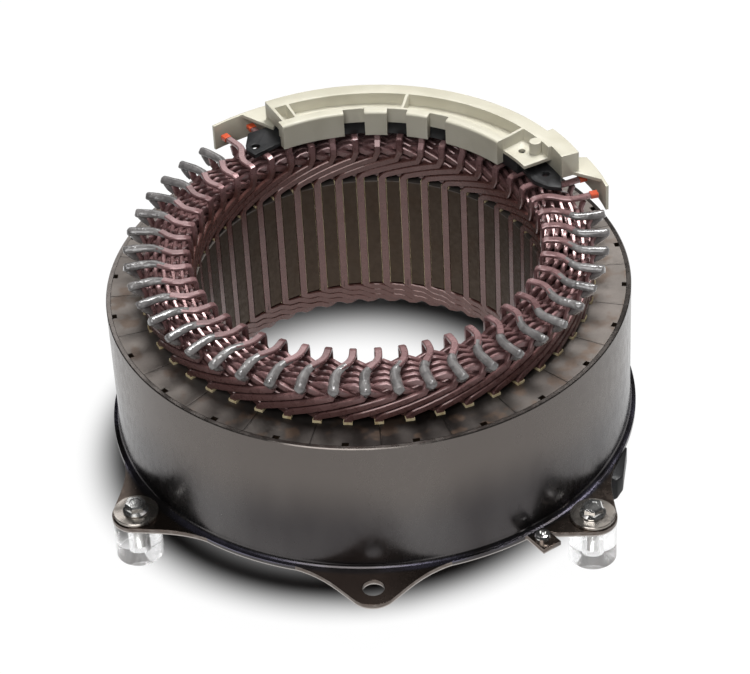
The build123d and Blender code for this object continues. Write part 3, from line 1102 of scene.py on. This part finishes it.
@dataclass
class Winding:
    """Flat-wire winding: leads on their ramps, crests, bridges, dipped joints and capped ends.

    The tables plan and dip_leg are in millimetres, and the other lengths in metres.
    """

    sizes: Sizes
    finishes: Finishes
    rows: PolarRow
    inner_span: float = 21.5
    outer_span: float = 20.0
    inner_rise: float = 13.2 * MM
    outer_rise: float = 14.6 * MM
    ramp_foot: float = 1.6 * MM
    ramp_shares: tuple = (0.06, 0.2, 0.4, 0.6, 0.8, 0.94)
    joggle: float = 60.5 * MM
    tall_radius: float = 95.9 * MM
    tall_top: float = 70.7 * MM
    bridge_end: float = 110.5 * MM
    bare_end: float = 127.0 * MM
    dip_start: float = 106.5 * MM
    dip_corner: float = 0.42
    dip_tip: tuple = ((1.4 * MM, 0.94), (0.8 * MM, 0.8), (0.4 * MM, 0.56))
    dip_leg: tuple = (
        (1.6, 54.6, 3.2, 2.6), (2.8, 56.0, 4.6, 3.9), (4.2, 57.6, 5.2, 4.6),
        (5.8, 59.4, 5.2, 4.6), (6.9, 61.0, 4.6, 3.9),
    )
    crest_lean: float = 2.4
    crest_slant: tuple = ((0.0, 0.0), (0.1, 0.13), (0.3, 0.33), (0.55, 0.58), (0.78, 0.8), (0.92, 0.945))
    stub_depth: float = 4.0 * MM
    wave_steps: int = 14
    wave_turns: float = 3.3
    wave_depth: float = 0.055
    plan: tuple = (
        (93.5, 5.8), (97.0, 6.2), (101.5, 6.2), (105.0, 4.9), (108.5, 2.4),
        (111.5, 0.4), (115.5, -0.6), (121.5, -0.4), (128.4, 0.0),
    )

    def ramp(self, layer: int, span: float, rise: float, end: float = 0.0) -> Ribbon:
        """Lead a wire out of its slot and up its slant.

        Args:
            layer: Its layer, counted from the bore.
            span: Angle that it covers, below zero for the other way.
            rise: Height that it climbs.
            end: Angle where the slant ends.

        Returns:
            The bar up to the slant's end.
        """
        s = self.sizes
        ribbon = Ribbon()
        foot = s.core_top + s.stub_height
        steps = [(0.0, -2.0 * MM), (0.0, 0.2 * MM)]
        steps += [(share, self.ramp_foot + (rise - self.ramp_foot) * share) for share in self.ramp_shares]
        for share, height in steps:
            angle = end + span * (share - 1.0)
            place = polar(s.layer(layer), angle, foot + height)
            ribbon.add(place, polar(1.0, angle), s.wire_width, s.wire_thickness)
        return ribbon

    def bridge_points(self) -> list:
        """Run the middle of a bridge in plan, with its tip at angle zero.

        Returns:
            Points from the bore out, at height zero.
        """
        return spline([Vector((x * MM, y * MM, 0.0)) for x, y in self.plan], 2)

    def inner_lead(self, reach: float) -> bpy.types.Mesh:
        """Make a wire from the bore side of its slot, up its ramp and riser, and out along its bridge.

        Args:
            reach: Radius where it ends.

        Returns:
            The mesh of one wire, whose bridge ends at angle zero.
        """
        s = self.sizes
        wide, thick = s.wire_width, s.wire_thickness
        riser = math.degrees(math.atan2(self.plan[0][1], self.plan[0][0]))
        ribbon = self.ramp(0, -self.inner_span, self.inner_rise, riser)
        radial = polar(1.0, riser)
        middle = s.bridge_top - thick / 2
        for below in (8.2 * MM, 2.4 * MM):
            ribbon.add(polar(s.layer(0), riser, middle - below), radial, wide, thick)
        ribbon.add(polar(s.layer(0) + 0.5 * MM, riser, middle - 0.6 * MM), radial + DOWN, wide, thick)
        for point in self.bridge_points()[1:]:
            if point.length < reach:
                ribbon.add(point + Vector((0.0, 0.0, middle)), DOWN, wide, thick)
        return ribbon.mesh("inner_lead")

    def tall_lead(self) -> bpy.types.Mesh:
        """Make a wire that rises from its ramp into a socket of the cover.

        Returns:
            The mesh of one wire, whose riser is at angle zero.
        """
        s = self.sizes
        ribbon = self.ramp(0, -self.inner_span, self.inner_rise)
        for radius, height in (
            (s.layer(0), 54.0 * MM), (s.layer(0), 57.6 * MM),
            (self.tall_radius, self.joggle + 0.3 * MM), (self.tall_radius, self.tall_top),
        ):
            ribbon.add(polar(radius, 0.0, height), polar(1.0, 0.0), s.wire_width, s.wire_thickness)
        return ribbon.mesh("tall_lead")

    def outer_lead(self) -> bpy.types.Mesh:
        """Make a wire from the outer side of its slot, up its ramp and into its joint.

        Returns:
            The mesh of one wire, whose joint is at angle zero.
        """
        s = self.sizes
        ribbon = self.ramp(11, self.outer_span, self.outer_rise)
        for out, height in ((0.0, 55.5 * MM), (1.5 * MM, 60.0 * MM)):
            ribbon.add(polar(s.layer(11) + out, 0.0, height), polar(1.0, 0.0), s.wire_width, s.wire_thickness)
        return ribbon.mesh("outer_lead")

    def joint(self, seed: int) -> bpy.types.Mesh:
        """Make one dipped joint: the end of the bridge with its round tip, and the leg under it.

        Args:
            seed: Number of the variant.

        Returns:
            The mesh of the joint at angle zero.
        """
        s = self.sizes
        strip = Ribbon(corner=self.dip_corner)
        wave = [math.sin(seed * 1.7 + k * 1.9) for k in range(40)]
        line = [point for point in self.bridge_points() if point.length > self.dip_start]
        line[-1] = Vector((s.tip_radius - 2.2 * MM, 0.0, 0.0))
        shares = [1.0] * len(line) + [share for _, share in self.dip_tip]
        line += [Vector((s.tip_radius - back, 0.0, 0.0)) for back, _ in self.dip_tip]
        start = line[0].length
        for k, (point, narrow) in enumerate(zip(line, shares)):
            share = (point.length - start) / (s.tip_radius - start)
            wide = (4.0 + 1.3 * min(1.0, share * 3.0) + 0.2 * wave[k] + 0.5 * share) * MM
            thick = (2.6 + 1.3 * min(1.0, share * 3.0) + 0.18 * wave[k + 9] + 1.3 * share ** 3) * MM
            middle = Vector((0.0, 0.0, s.bridge_top - 0.05 * MM - thick / 2))
            strip.add(point + middle, DOWN, wide * narrow, thick * narrow)
        leg = Ribbon(corner=self.dip_corner)
        out = polar(1.0, 0.0)
        for k, (beyond, height, wide, thick) in enumerate(self.dip_leg):
            lean = out + Vector((0.0, 0.0, -0.5 if k > 3 else 0.0))
            leg.add(
                polar(s.layer(11) + beyond * MM, 0.0, height * MM), lean,
                (wide + 0.2 * wave[k + 20]) * MM, (thick + 0.15 * wave[k + 28]) * MM,
            )
        return smooth(skin(f"joint_{seed}", [strip.rings(), leg.rings()]), 60.0)

    def hairpin(
        self, inner: int, top: float, base: float, crest: float, lean: float, wave: float = 0.0
    ) -> bpy.types.Mesh:
        """Make one crossed wire: up from a slot in one layer, over a crest and down in the next layer.

        Args:
            inner: Layer of its first leg.
            top: Height of the crest's upper edge.
            base: Height where the legs leave their slots.
            crest: Angle of the crest from the first leg.
            lean: 1 where it runs with the angles, -1 against them.
            wave: Depth of the dips that it makes where it passes each slot.

        Returns:
            The mesh of one wire, whose first leg is at angle zero.
        """
        s = self.sizes
        near, far = s.layer(inner), s.layer(inner + 1)
        up = math.copysign(1.0, top - base)
        across = 6 * s.slot_pitch
        ribbon = Ribbon()
        rise = abs(top - base) - s.wire_width / 2 - 0.3 * MM
        slant = self.crest_slant
        if wave:
            shares = [k / self.wave_steps for k in range(1, self.wave_steps)]
            turns = 2.0 * math.pi * self.wave_turns
            slant = (slant[0], *((share, share + wave * math.sin(share * turns)) for share in shares))
        steps = [(0.0, -self.stub_depth)] + [(share, level * rise) for share, level in slant]
        for share, height in steps:
            angle = lean * crest * share
            place = polar(near, angle, base + up * height)
            ribbon.add(place, polar(1.0, angle), s.wire_width, s.wire_thickness)
        ribbon.add(
            polar((near + far) / 2, lean * crest, base + up * rise), polar(1.0, lean * crest),
            s.wire_width, s.wire_thickness,
        )
        for share, height in reversed(steps):
            angle = lean * (across - (across - crest) * share)
            place = polar(far, angle, base + up * height)
            ribbon.add(place, polar(1.0, angle), s.wire_width, s.wire_thickness)
        return ribbon.mesh(f"hairpin_{inner}")

    def cap(self) -> bpy.types.Mesh:
        """Make the square cap on the tip of a bare bridge.

        Returns:
            The mesh of one cap at angle zero.
        """
        s = self.sizes
        ribbon = Ribbon(corner=0.16)
        middle = s.bridge_top - s.wire_thickness / 2
        for radius, grow in ((-4.3, 0.3), (-4.1, 0.62), (-0.3, 0.66), (0.0, 0.4)):
            place = Vector((s.tip_radius + radius * MM, 0.0, middle))
            wide, thick = s.wire_width + grow * MM, s.wire_thickness + grow * MM
            ribbon.add(place, DOWN, wide, thick)
        return ribbon.mesh("cap")

    def at(self, joint: int) -> float:
        """Find the angle of a joint, counted from the first."""
        return self.sizes.first_slot + self.sizes.joint_angle + joint * self.sizes.slot_pitch

    @property
    def bare(self) -> tuple:
        """Rows of the bare leads beside the cover, as first angle, count and pitch."""
        return tuple((self.at(joint), 2, self.sizes.slot_pitch) for joint in (1, 15))

    def row(
        self, name: str, mesh: bpy.types.Mesh, groups: tuple, nodes: tuple, lift: float, sway: float,
        finish: tuple | None = None,
    ) -> None:
        """Lay one kind of piece in one or more rows and place them.

        Args:
            name: Name of the pieces, which are counted from 1.
            mesh: One of them, as it stands at angle zero.
            groups: For each row the angle of its first one, their count and their pitch.
            nodes: The solid nodes that they stand for.
            lift: Largest shift up or down.
            sway: Largest turn to either side in degrees.
            finish: Their material and slot, or None for enamelled wire.
        """
        material, slot = finish or (self.finishes.wire, Slot.WIRE)
        smooth(mesh)
        for number, (start, count, pitch) in enumerate(groups):
            made = self.rows.lay(mesh, count, start, pitch, 11 * number + 3, material, lift, sway)
            new_piece(f"{name}_{number + 1}", smooth(made), material, slot, *nodes)

    def leads(self) -> None:
        """Build the leads at the bore and at the outer side of the slots."""
        s, pitch = self.sizes, self.sizes.slot_pitch
        inner = ("inner_lead_ramps", "bridge_wires")
        plain = ((self.at(17), 32, pitch), (self.at(3), 3, pitch), (self.at(7), 4, 2 * pitch))
        riser = math.degrees(math.atan2(s.bridge_offset, s.bore_radius))
        tall = ((self.at(6) + riser, 5, 2 * pitch),)
        outer = ((self.at(0), s.slot_count, pitch),)
        self.row("bridge_lead", self.inner_lead(self.bridge_end), plain, inner, 0.12 * MM, 0.1)
        self.row("bare_lead", self.inner_lead(self.bare_end), self.bare, inner, 0.12 * MM, 0.2)
        self.row("tall_lead", self.tall_lead(), tall, inner, 0.0, 0.05)
        self.row("outer_lead", self.outer_lead(), outer, ("outer_lead_ramps",), 0.1 * MM, 0.06)

    def joints(self) -> None:
        """Build the dipped joints in three variants."""
        epoxy = self.finishes.epoxy
        for variant in range(3):
            for part, (first, count) in enumerate(((17, 32), (3, 12))):
                made = self.rows.lay(
                    self.joint(variant), (count - variant + 2) // 3, self.at(first + variant),
                    3 * self.sizes.slot_pitch, 7 * variant + part, epoxy, 0.12 * MM, 0.18,
                )
                name = f"coated_joint_{variant + 1}_{part + 1}"
                new_piece(name, smooth(made, 60.0), epoxy, Slot.EPOXY, "coated_joints")

    def build(self) -> None:
        """Build the whole winding."""
        s = self.sizes
        crest = 3 * s.slot_pitch + self.crest_lean
        whole = ((s.first_slot, s.slot_count, s.slot_pitch),)
        caps = (self.finishes.sleeve, Slot.SLEEVE)
        self.leads()
        self.joints()
        self.row("red_cap", self.cap(), self.bare, ("lead_sleeves",), 0.1 * MM, 0.2, caps)
        for number in range(1, 6):
            mesh = self.hairpin(2 * number - 1, s.crest_top, s.core_top + s.stub_height, crest, 1.0)
            self.row(f"crest_wires_{number}", mesh, whole, (f"crest_row_{number}",), 0.25 * MM, 0.15)
        base = s.core_foot - s.stub_height
        for number in range(1, 7):
            wave = self.wave_depth if number < 3 else 0.0
            mesh = self.hairpin(2 * number - 2, s.lower_foot, base, crest, -1.0, wave)
            self.row(f"lower_wires_{number}", mesh, whole, (f"lower_crest_row_{number}",), 0.15 * MM, 0.1)


@dataclass
class Shell:
    """Pressed ring with its ears."""

    sizes: Sizes
    finishes: Finishes
    segments: int = 288
    lip_step: float = 1.5
    edge: float = 0.25 * MM

    def wall(self) -> bpy.types.Mesh:
        """Turn the wall with its flare.

        Returns:
            The wall's mesh.
        """
        s = self.sizes
        flare = s.flare_radius
        profile = [(s.ring_inner, s.core_top - 0.2 * MM), (s.ring_inner + 0.2 * MM, s.core_top)]
        profile += [(s.ring_outer - 0.5 * MM, s.core_top), (s.ring_outer, s.core_top - 0.5 * MM)]
        for step in range(9):
            bend = math.radians(180.0 + 90.0 * step / 8)
            out, rise = 1.0 + math.cos(bend), 1.0 + math.sin(bend)
            profile.append((s.ring_outer + flare * out, s.flange_top + flare * rise))
        lip = s.lip_radius - s.lip_inset
        profile.append((lip, s.flange_top - 0.1 * MM))
        profile.append((lip, s.flange_under + 0.1 * MM))
        inside = flare + s.ring_outer - s.ring_inner
        for step in range(9):
            bend = math.radians(270.0 - 90.0 * step / 8)
            out, rise = 1.0 + math.cos(bend), 1.0 + math.sin(bend)
            profile.append((s.ring_inner + inside * out, s.flange_under + inside * rise))
        return smooth(lathe("ring_wall", profile, self.segments, Vector((0.0, 0.0, 0.0))), 30.0)

    def outline(self) -> list:
        """Work out the flange's outline with its six ears and the square tab.

        Returns:
            Points in plan, in order round the axis.
        """
        s = self.sizes
        end = s.tab_radius + s.tab_tip
        tab = [(s.lip_radius, -s.tab_half_width), (end, -s.tab_half_width), (end, s.tab_half_width)]
        tab.append((s.lip_radius + 5.0 * MM, s.tab_half_width))
        spin = Matrix.Rotation(math.radians(s.tab_angle), 2)
        parts = [[spin @ Vector(point) for point in tab]] + [self.ear(ear) for ear in s.ears]
        parts.sort(key=lambda part: math.atan2(part[0].y, part[0].x) % (2.0 * math.pi))
        points = []
        for part, following in zip(parts, parts[1:] + parts[:1]):
            points.extend(part)
            start = math.degrees(math.atan2(part[-1].y, part[-1].x))
            sweep = (math.degrees(math.atan2(following[0].y, following[0].x)) - start) % 360.0
            if sweep < 180.0:
                steps = int(sweep / self.lip_step + 1)
                radius = s.lip_radius - s.plate_inset
                points.extend(polar(radius, start + sweep * k / steps).to_2d() for k in range(1, steps))
        return points

    def ear(self, turn: float) -> list:
        """Work out the outline of one ear, from its root round its nose.

        Args:
            turn: Its angle.

        Returns:
            Points in plan.
        """
        s = self.sizes
        half = math.radians(s.ear_root_half_angle)
        root = Vector((s.lip_radius * math.cos(half), s.lip_radius * math.sin(half)))
        centre = Vector((s.ear_radius, 0.0))
        reach = centre - root
        lean = math.asin(s.ear_nose_radius / reach.length)
        along = math.atan2(-reach.y, -reach.x)
        touch = along - math.pi / 2 + lean
        nose = abs(math.atan2(math.sin(touch), math.cos(touch)))
        round_nose = [
            centre + s.ear_nose_radius * Vector((math.cos(nose * t), math.sin(nose * t)))
            for t in (k / 9 - 1.0 for k in range(19))
        ]
        lip = (s.lip_radius - s.plate_inset) * Vector((math.cos(half * 1.5), math.sin(half * 1.5)))
        flank = root.lerp(round_nose[-1], 0.6)
        bend = [lip.lerp(root, t).lerp(root.lerp(flank, t), t) for t in (k / 7 for k in range(8))]
        low = [Vector((point.x, -point.y)) for point in bend]
        if turn == s.front_ears[2]:
            # The tab stands where this root would run out
            low = low[6:]
        line = low + round_nose + bend[::-1]
        spin = Matrix.Rotation(math.radians(turn), 2)
        return [spin @ point for point in line]

    def flange(self) -> bpy.types.Mesh:
        """Cut the flange plate with its holes from a filled outline.

        Returns:
            The flange's mesh, with its side faces in the second material.
        """
        s = self.sizes
        curve = bpy.data.curves.new("flange_plan", "CURVE")
        curve.dimensions = "2D"
        curve.fill_mode = "BOTH"
        curve.extrude = (s.flange_top - s.flange_under) / 2 - self.edge
        curve.bevel_depth = self.edge
        curve.bevel_resolution = 1
        curve.offset = -self.edge
        holes = [(polar(s.ear_radius, angle).to_2d(), s.ear_hole_radius, 40) for angle in s.ears]
        holes.append((polar(s.tab_radius, s.tab_angle).to_2d(), s.tab_hole_radius, 20))
        holes.append((Vector((0.0, 0.0)), s.ring_outer + 1.2 * MM, 240))
        loops = [self.outline()]
        for middle, radius, count in holes:
            loops.append([middle + polar(radius, 360.0 * k / count).to_2d() for k in range(count)])
        for loop in loops:
            line = curve.splines.new("POLY")
            line.points.add(len(loop) - 1)
            line.use_cyclic_u = True
            for point, place in zip(line.points, loop):
                point.co = (place.x, place.y, 0.0, 1.0)
        holder = bpy.data.objects.new("flange_plan", curve)
        bpy.context.scene.collection.objects.link(holder)
        graph = bpy.context.evaluated_depsgraph_get()
        mesh = bpy.data.meshes.new_from_object(holder.evaluated_get(graph))
        bpy.data.objects.remove(holder)
        mesh.name = "flange_plate"
        mesh.transform(Matrix.Translation((0.0, 0.0, (s.flange_top + s.flange_under) / 2)))
        mesh.materials.clear()
        mesh.materials.append(self.finishes.ring)
        mesh.materials.append(self.finishes.edge)
        for face in mesh.polygons:
            face.material_index = int(abs(face.normal.z) < 0.4)
        return mesh

    def build(self) -> None:
        """Build the ring and its flange."""
        new_piece("ring_wall", self.wall(), self.finishes.ring, Slot.RING, "outer_ring")
        new_piece("ring_flange", self.flange(), self.finishes.ring, Slot.RING, "outer_ring")


@dataclass
class Mounts:
    """Clear feet, washers, bolts and the small screw."""

    sizes: Sizes
    finishes: Finishes
    # Radius of the pinhole that a turned body keeps at its axis
    pin: float = 0.05 * MM

    def foot(self, middle: Vector) -> bpy.types.Mesh:
        """Turn one clear foot.

        Args:
            middle: A point of its axis.

        Returns:
            Its mesh.
        """
        s = self.sizes
        hole = s.bolt_radius + s.hole_clearance
        edge = 0.6 * MM
        top, under = s.flange_under, s.foot_under
        profile = [
            (hole, top), (s.foot_radius - 0.2 * MM, top), (s.foot_radius, top - 0.2 * MM),
            (s.foot_radius, under + edge), (s.foot_radius - edge, under), (self.pin, under),
            (self.pin, s.socket_under), (hole, s.socket_under),
        ]
        return smooth(lathe("foot", profile, 64, middle), 30.0)

    def washer(self, middle: Vector) -> bpy.types.Mesh:
        """Turn one washer.

        Args:
            middle: A point of its axis.

        Returns:
            Its mesh.
        """
        s = self.sizes
        low, high = s.flange_top, s.flange_top + s.washer_thickness
        hole, rim, edge = s.bolt_radius + s.hole_clearance, s.washer_radius, 0.3 * MM
        profile = [(hole, low), (rim - edge, low), (rim, low + edge)]
        profile += [(rim, high - edge), (rim - edge, high), (hole, high)]
        return smooth(lathe("washer", profile, 64, middle), 25.0)

    def bolt(self, middle: Vector, spin: float) -> bpy.types.Mesh:
        """Make one hex flange bolt with its thread.

        Args:
            middle: A point of its axis.
            spin: Turn of the hex.

        Returns:
            Its mesh.
        """
        s = self.sizes
        seat = s.flange_top + s.washer_thickness
        core, top = self.pin, seat + s.bolt_head_height
        flange = seat + s.bolt_flange_thickness
        collar = [
            (core, seat), (s.bolt_flange_radius - 0.3 * MM, seat), (s.bolt_flange_radius, seat + 0.4 * MM),
            (s.bolt_flange_radius, seat + 0.9 * MM), (s.hex_flat / 2, flange + 0.4 * MM),
            (core, flange + 0.4 * MM),
        ]
        corner = s.hex_flat / math.sqrt(3.0)
        hexed = [
            (core, flange - 0.3 * MM), (corner, flange - 0.3 * MM), (corner, top - 0.9 * MM),
            (corner * 0.86, top), (corner * 0.6, top), (corner * 0.52, top - 0.5 * MM),
            (core, top - 0.5 * MM),
        ]
        foot = s.flange_under - s.bolt_reach
        shank = [(core, seat), (s.bolt_radius * 0.82, seat)]
        turns = int((seat - foot) / MM)
        for step in range(turns):
            height = seat - step * MM
            shank += [(s.bolt_radius * 0.82, height - 0.1 * MM), (s.bolt_radius, height - 0.5 * MM)]
        shank += [(s.bolt_radius * 0.7, foot), (core, foot)]
        return smooth(
            merge("bolt", [
                lathe("collar", collar, 48, middle),
                lathe("hexed", hexed, 6, middle, spin),
                lathe("shank", shank, 24, middle),
            ]), 30.0,
        )

    def screw(self) -> bpy.types.Mesh:
        """Make the small screw of the tab.

        Returns:
            Its mesh.
        """
        s = self.sizes
        middle = polar(s.tab_radius, s.tab_angle)
        low, core = s.flange_top, self.pin
        head = [
            (core, low - 3.0 * MM), (1.9 * MM, low - 3.0 * MM), (1.9 * MM, low),
            (4.3 * MM, low), (4.3 * MM, low + 1.7 * MM),
            (3.7 * MM, low + 2.7 * MM), (2.6 * MM, low + 3.2 * MM), (1.75 * MM, low + 3.2 * MM),
            (1.6 * MM, low + 1.6 * MM), (core, low + 1.6 * MM),
        ]
        return smooth(lathe("screw", head, 40, middle), 30.0)

    def build(self) -> None:
        """Build the feet and what holds them."""
        places = [polar(self.sizes.ear_radius, angle) for angle in self.sizes.foot_ears]
        finishes = self.finishes
        feet = smooth(merge("feet", [self.foot(place) for place in places]), 30.0)
        washers = smooth(merge("washers", [self.washer(place) for place in places]), 25.0)
        bolts = [self.bolt(place, 12.0 + 23.0 * k) for k, place in enumerate(places)]
        new_piece("feet", feet, finishes.acrylic, Slot.ACRYLIC, "clear_feet")
        new_piece("washers", washers, finishes.washer, Slot.WASHER, "mount_washers")
        new_piece("bolts", smooth(merge("bolts", bolts), 30.0), finishes.zinc, Slot.ZINC, "mount_bolts")
        new_piece("tab_screw_head", self.screw(), finishes.zinc, Slot.ZINC, "tab_screw")


@dataclass
class Mouldings:
    """Terminal cover, its base and the connector housing, with rounded edges."""

    finishes: Finishes

    def build(self) -> None:
        """Build the mouldings."""
        ivory, black = (self.finishes.ivory, Slot.IVORY), (self.finishes.black, Slot.BLACK)
        for name, node, width, finish in (
            ("cover", "terminal_cover", 0.35 * MM, ivory),
            ("base", "terminal_base", 0.3 * MM, black),
            ("connector", "connector_housing", 0.6 * MM, black),
        ):
            new_piece(name, bevelled(name, node, width), *finish, node)


def dress_core(finishes: Finishes) -> None:
    """Give the solid nodes that stay their materials.

    Args:
        finishes: The materials.
    """
    names = {f"core_segment_{number:02d}": (finishes.core, Slot.CORE) for number in range(1, 25)}
    names["slot_liners"] = (finishes.paper, Slot.PAPER)
    names["slot_conductors"] = (finishes.wire, Slot.WIRE)
    for name, (material, slot) in names.items():
        node = bpy.data.objects[name]
        node.data.materials.clear()
        node.data.materials.append(material)
    log.info("core dressed")


@dataclass
class Studio:
    """Pale floor, soft lamps and the camera of the view.

    Lengths are in metres and angles in degrees.
    """

    eye: tuple = (0.0, -1.2927, 1.0029)
    aim: tuple = (0.0021, 0.0, -0.0034)
    roll: float = 3.0788
    lens: float = 145.3
    sensor: float = 36.0
    floor_height: float = -0.0711
    floor_reach: float = 6.0
    well_near: float = 0.07
    well_far: float = 0.124
    shade_shift: float = 0.014
    shade_near: float = 0.124
    shade_far: float = 0.158
    # Painted shadow: the floor's colour in the band under the ring
    painted_floor_shadow: tuple = (0.035, 0.035, 0.035)
    floor_pale: tuple = (0.8, 0.8, 0.8)
    white_strength: float = 1.02
    white_share: float = 0.97
    world_strength: float = 0.2
    lamps: tuple = (
        ("key_lamp", (0.35, 0.5, 1.7), 0.7, 40.0),
        ("fill_lamp", (-0.4, -1.3, 1.7), 1.3, 25.0),
        ("back_lamp", (-0.3, 1.7, 1.25), 0.6, 2.5),
    )

    def camera(self) -> bpy.types.Object:
        """Set up the camera.

        Returns:
            The camera object, which is also the scene's camera.
        """
        data = bpy.data.cameras.new("view_camera")
        data.lens = self.lens
        data.sensor_width = self.sensor
        data.sensor_fit = "HORIZONTAL"
        data.clip_end = 20.0
        eye = Vector(self.eye)
        forward = (Vector(self.aim) - eye).normalized()
        right = forward.cross(Vector((0.0, 0.0, 1.0))).normalized()
        down = forward.cross(right)
        turn = math.radians(self.roll)
        across = math.cos(turn) * right + math.sin(turn) * down
        upward = math.sin(turn) * right - math.cos(turn) * down
        aimed = Matrix((across, upward, -forward)).transposed().to_4x4()
        camera = bpy.data.objects.new("view_camera", data)
        camera.matrix_world = Matrix.Translation(eye) @ aimed
        bpy.context.scene.collection.objects.link(camera)
        bpy.context.scene.camera = camera
        return camera

    def floor(self) -> bpy.types.Object:
        """Lay the pale floor under the feet, with a painted shadow in a band under the ring.

        Returns:
            The floor object.
        """
        reach = self.floor_reach
        mesh = bpy.data.meshes.new("floor")
        corners = [(-reach, -reach), (reach, -reach), (reach, reach), (-reach, reach)]
        mesh.from_pydata([(x, y, self.floor_height) for x, y in corners], [], [(0, 1, 2, 3)])
        floor = bpy.data.objects.new("floor", mesh)
        bpy.context.scene.collection.objects.link(floor)
        shader = Shader("floor_white")
        x, y, _ = shader.axes()
        across = x + self.shade_shift
        radius = (across * across + y * y) ** 0.5
        rays = shader.node("ShaderNodeLightPath").outputs
        seen = Wave(shader, rays["Is Camera Ray"]) + rays["Is Glossy Ray"] + rays["Is Transmission Ray"]
        # Painted shadow: between the well and the outer edge, under the ring, the floor gets no white
        away = radius.step(self.shade_near, self.shade_far)
        well = radius.step(self.well_far, self.well_near)
        pale = away.join("MAXIMUM", away, well)
        white = shader.node("ShaderNodeEmission", None, (1.0, 1.0, 1.0, 1.0), self.white_strength)
        factor = away.join("MINIMUM", pale * seen, self.white_share)
        both = shader.node("ShaderNodeMixShader", None, factor, shader.surface.outputs[0], white.outputs[0])
        under = shader.node("ShaderNodeNewGeometry").outputs["Backfacing"]
        clear = shader.node("ShaderNodeBsdfTransparent")
        open_below = shader.node("ShaderNodeMixShader", None, under, both.outputs[0], clear.outputs[0])
        shader.feed(shader.tree.nodes["Material Output"].inputs["Surface"], open_below.outputs[0])
        # Painted shadow in the floor's own colour under the ring
        shade = shader.mix(pale, self.painted_floor_shadow, self.floor_pale)
        mesh.materials.append(shader.paint(Base_Color=shade, Roughness=0.5))
        return floor

    def lamp(self, name: str, place: tuple, size: float, power: float) -> bpy.types.Object:
        """Hang one soft square lamp that faces the object.

        Args:
            name: Name of the lamp.
            place: Where it hangs.
            size: Length of its side.
            power: Its strength in watts.

        Returns:
            The lamp object.
        """
        data = bpy.data.lights.new(name, "AREA")
        data.size = size
        data.energy = power
        lamp = bpy.data.objects.new(name, data)
        lamp.location = place
        lamp.rotation_euler = (-Vector(place)).to_track_quat("-Z", "Y").to_euler()
        bpy.context.scene.collection.objects.link(lamp)
        return lamp

    def world(self) -> bpy.types.World:
        """Surround the scene with dim light, which the camera and clear pieces see as white.

        Returns:
            The world.
        """
        world = bpy.data.worlds.new("studio_world")
        bpy.context.scene.world = world
        world.use_nodes = True
        tree = world.node_tree
        dim = tree.nodes["Background"]
        dim.inputs["Strength"].default_value = self.world_strength
        white = tree.nodes.new("ShaderNodeBackground")
        rays = tree.nodes.new("ShaderNodeLightPath")
        seen = tree.nodes.new("ShaderNodeMath")
        seen.use_clamp = True
        both = tree.nodes.new("ShaderNodeMixShader")
        for source, target in (
            (rays.outputs["Is Camera Ray"], seen.inputs[0]),
            (rays.outputs["Is Transmission Ray"], seen.inputs[1]),
            (seen.outputs[0], both.inputs[0]),
            (dim.outputs[0], both.inputs[1]),
            (white.outputs[0], both.inputs[2]),
            (both.outputs[0], tree.nodes["World Output"].inputs["Surface"]),
        ):
            tree.links.new(source, target)
        return world

    def build(self) -> None:
        """Build the studio."""
        self.camera()
        self.floor()
        for lamp in self.lamps:
            self.lamp(*lamp)
        self.world()


def main() -> None:
    """Build the dressed model and its studio."""
    logging.basicConfig(level=logging.INFO, format="%(message)s")
    bpy.context.scene.view_settings.view_transform = "Standard"
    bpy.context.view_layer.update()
    sizes = Sizes()
    finishes = Finishes()
    Studio().build()
    dress_core(finishes)
    Winding(sizes, finishes, PolarRow()).build()
    Shell(sizes, finishes).build()
    Mounts(sizes, finishes).build()
    Mouldings(finishes).build()


if __name__ == "__main__":
    main()
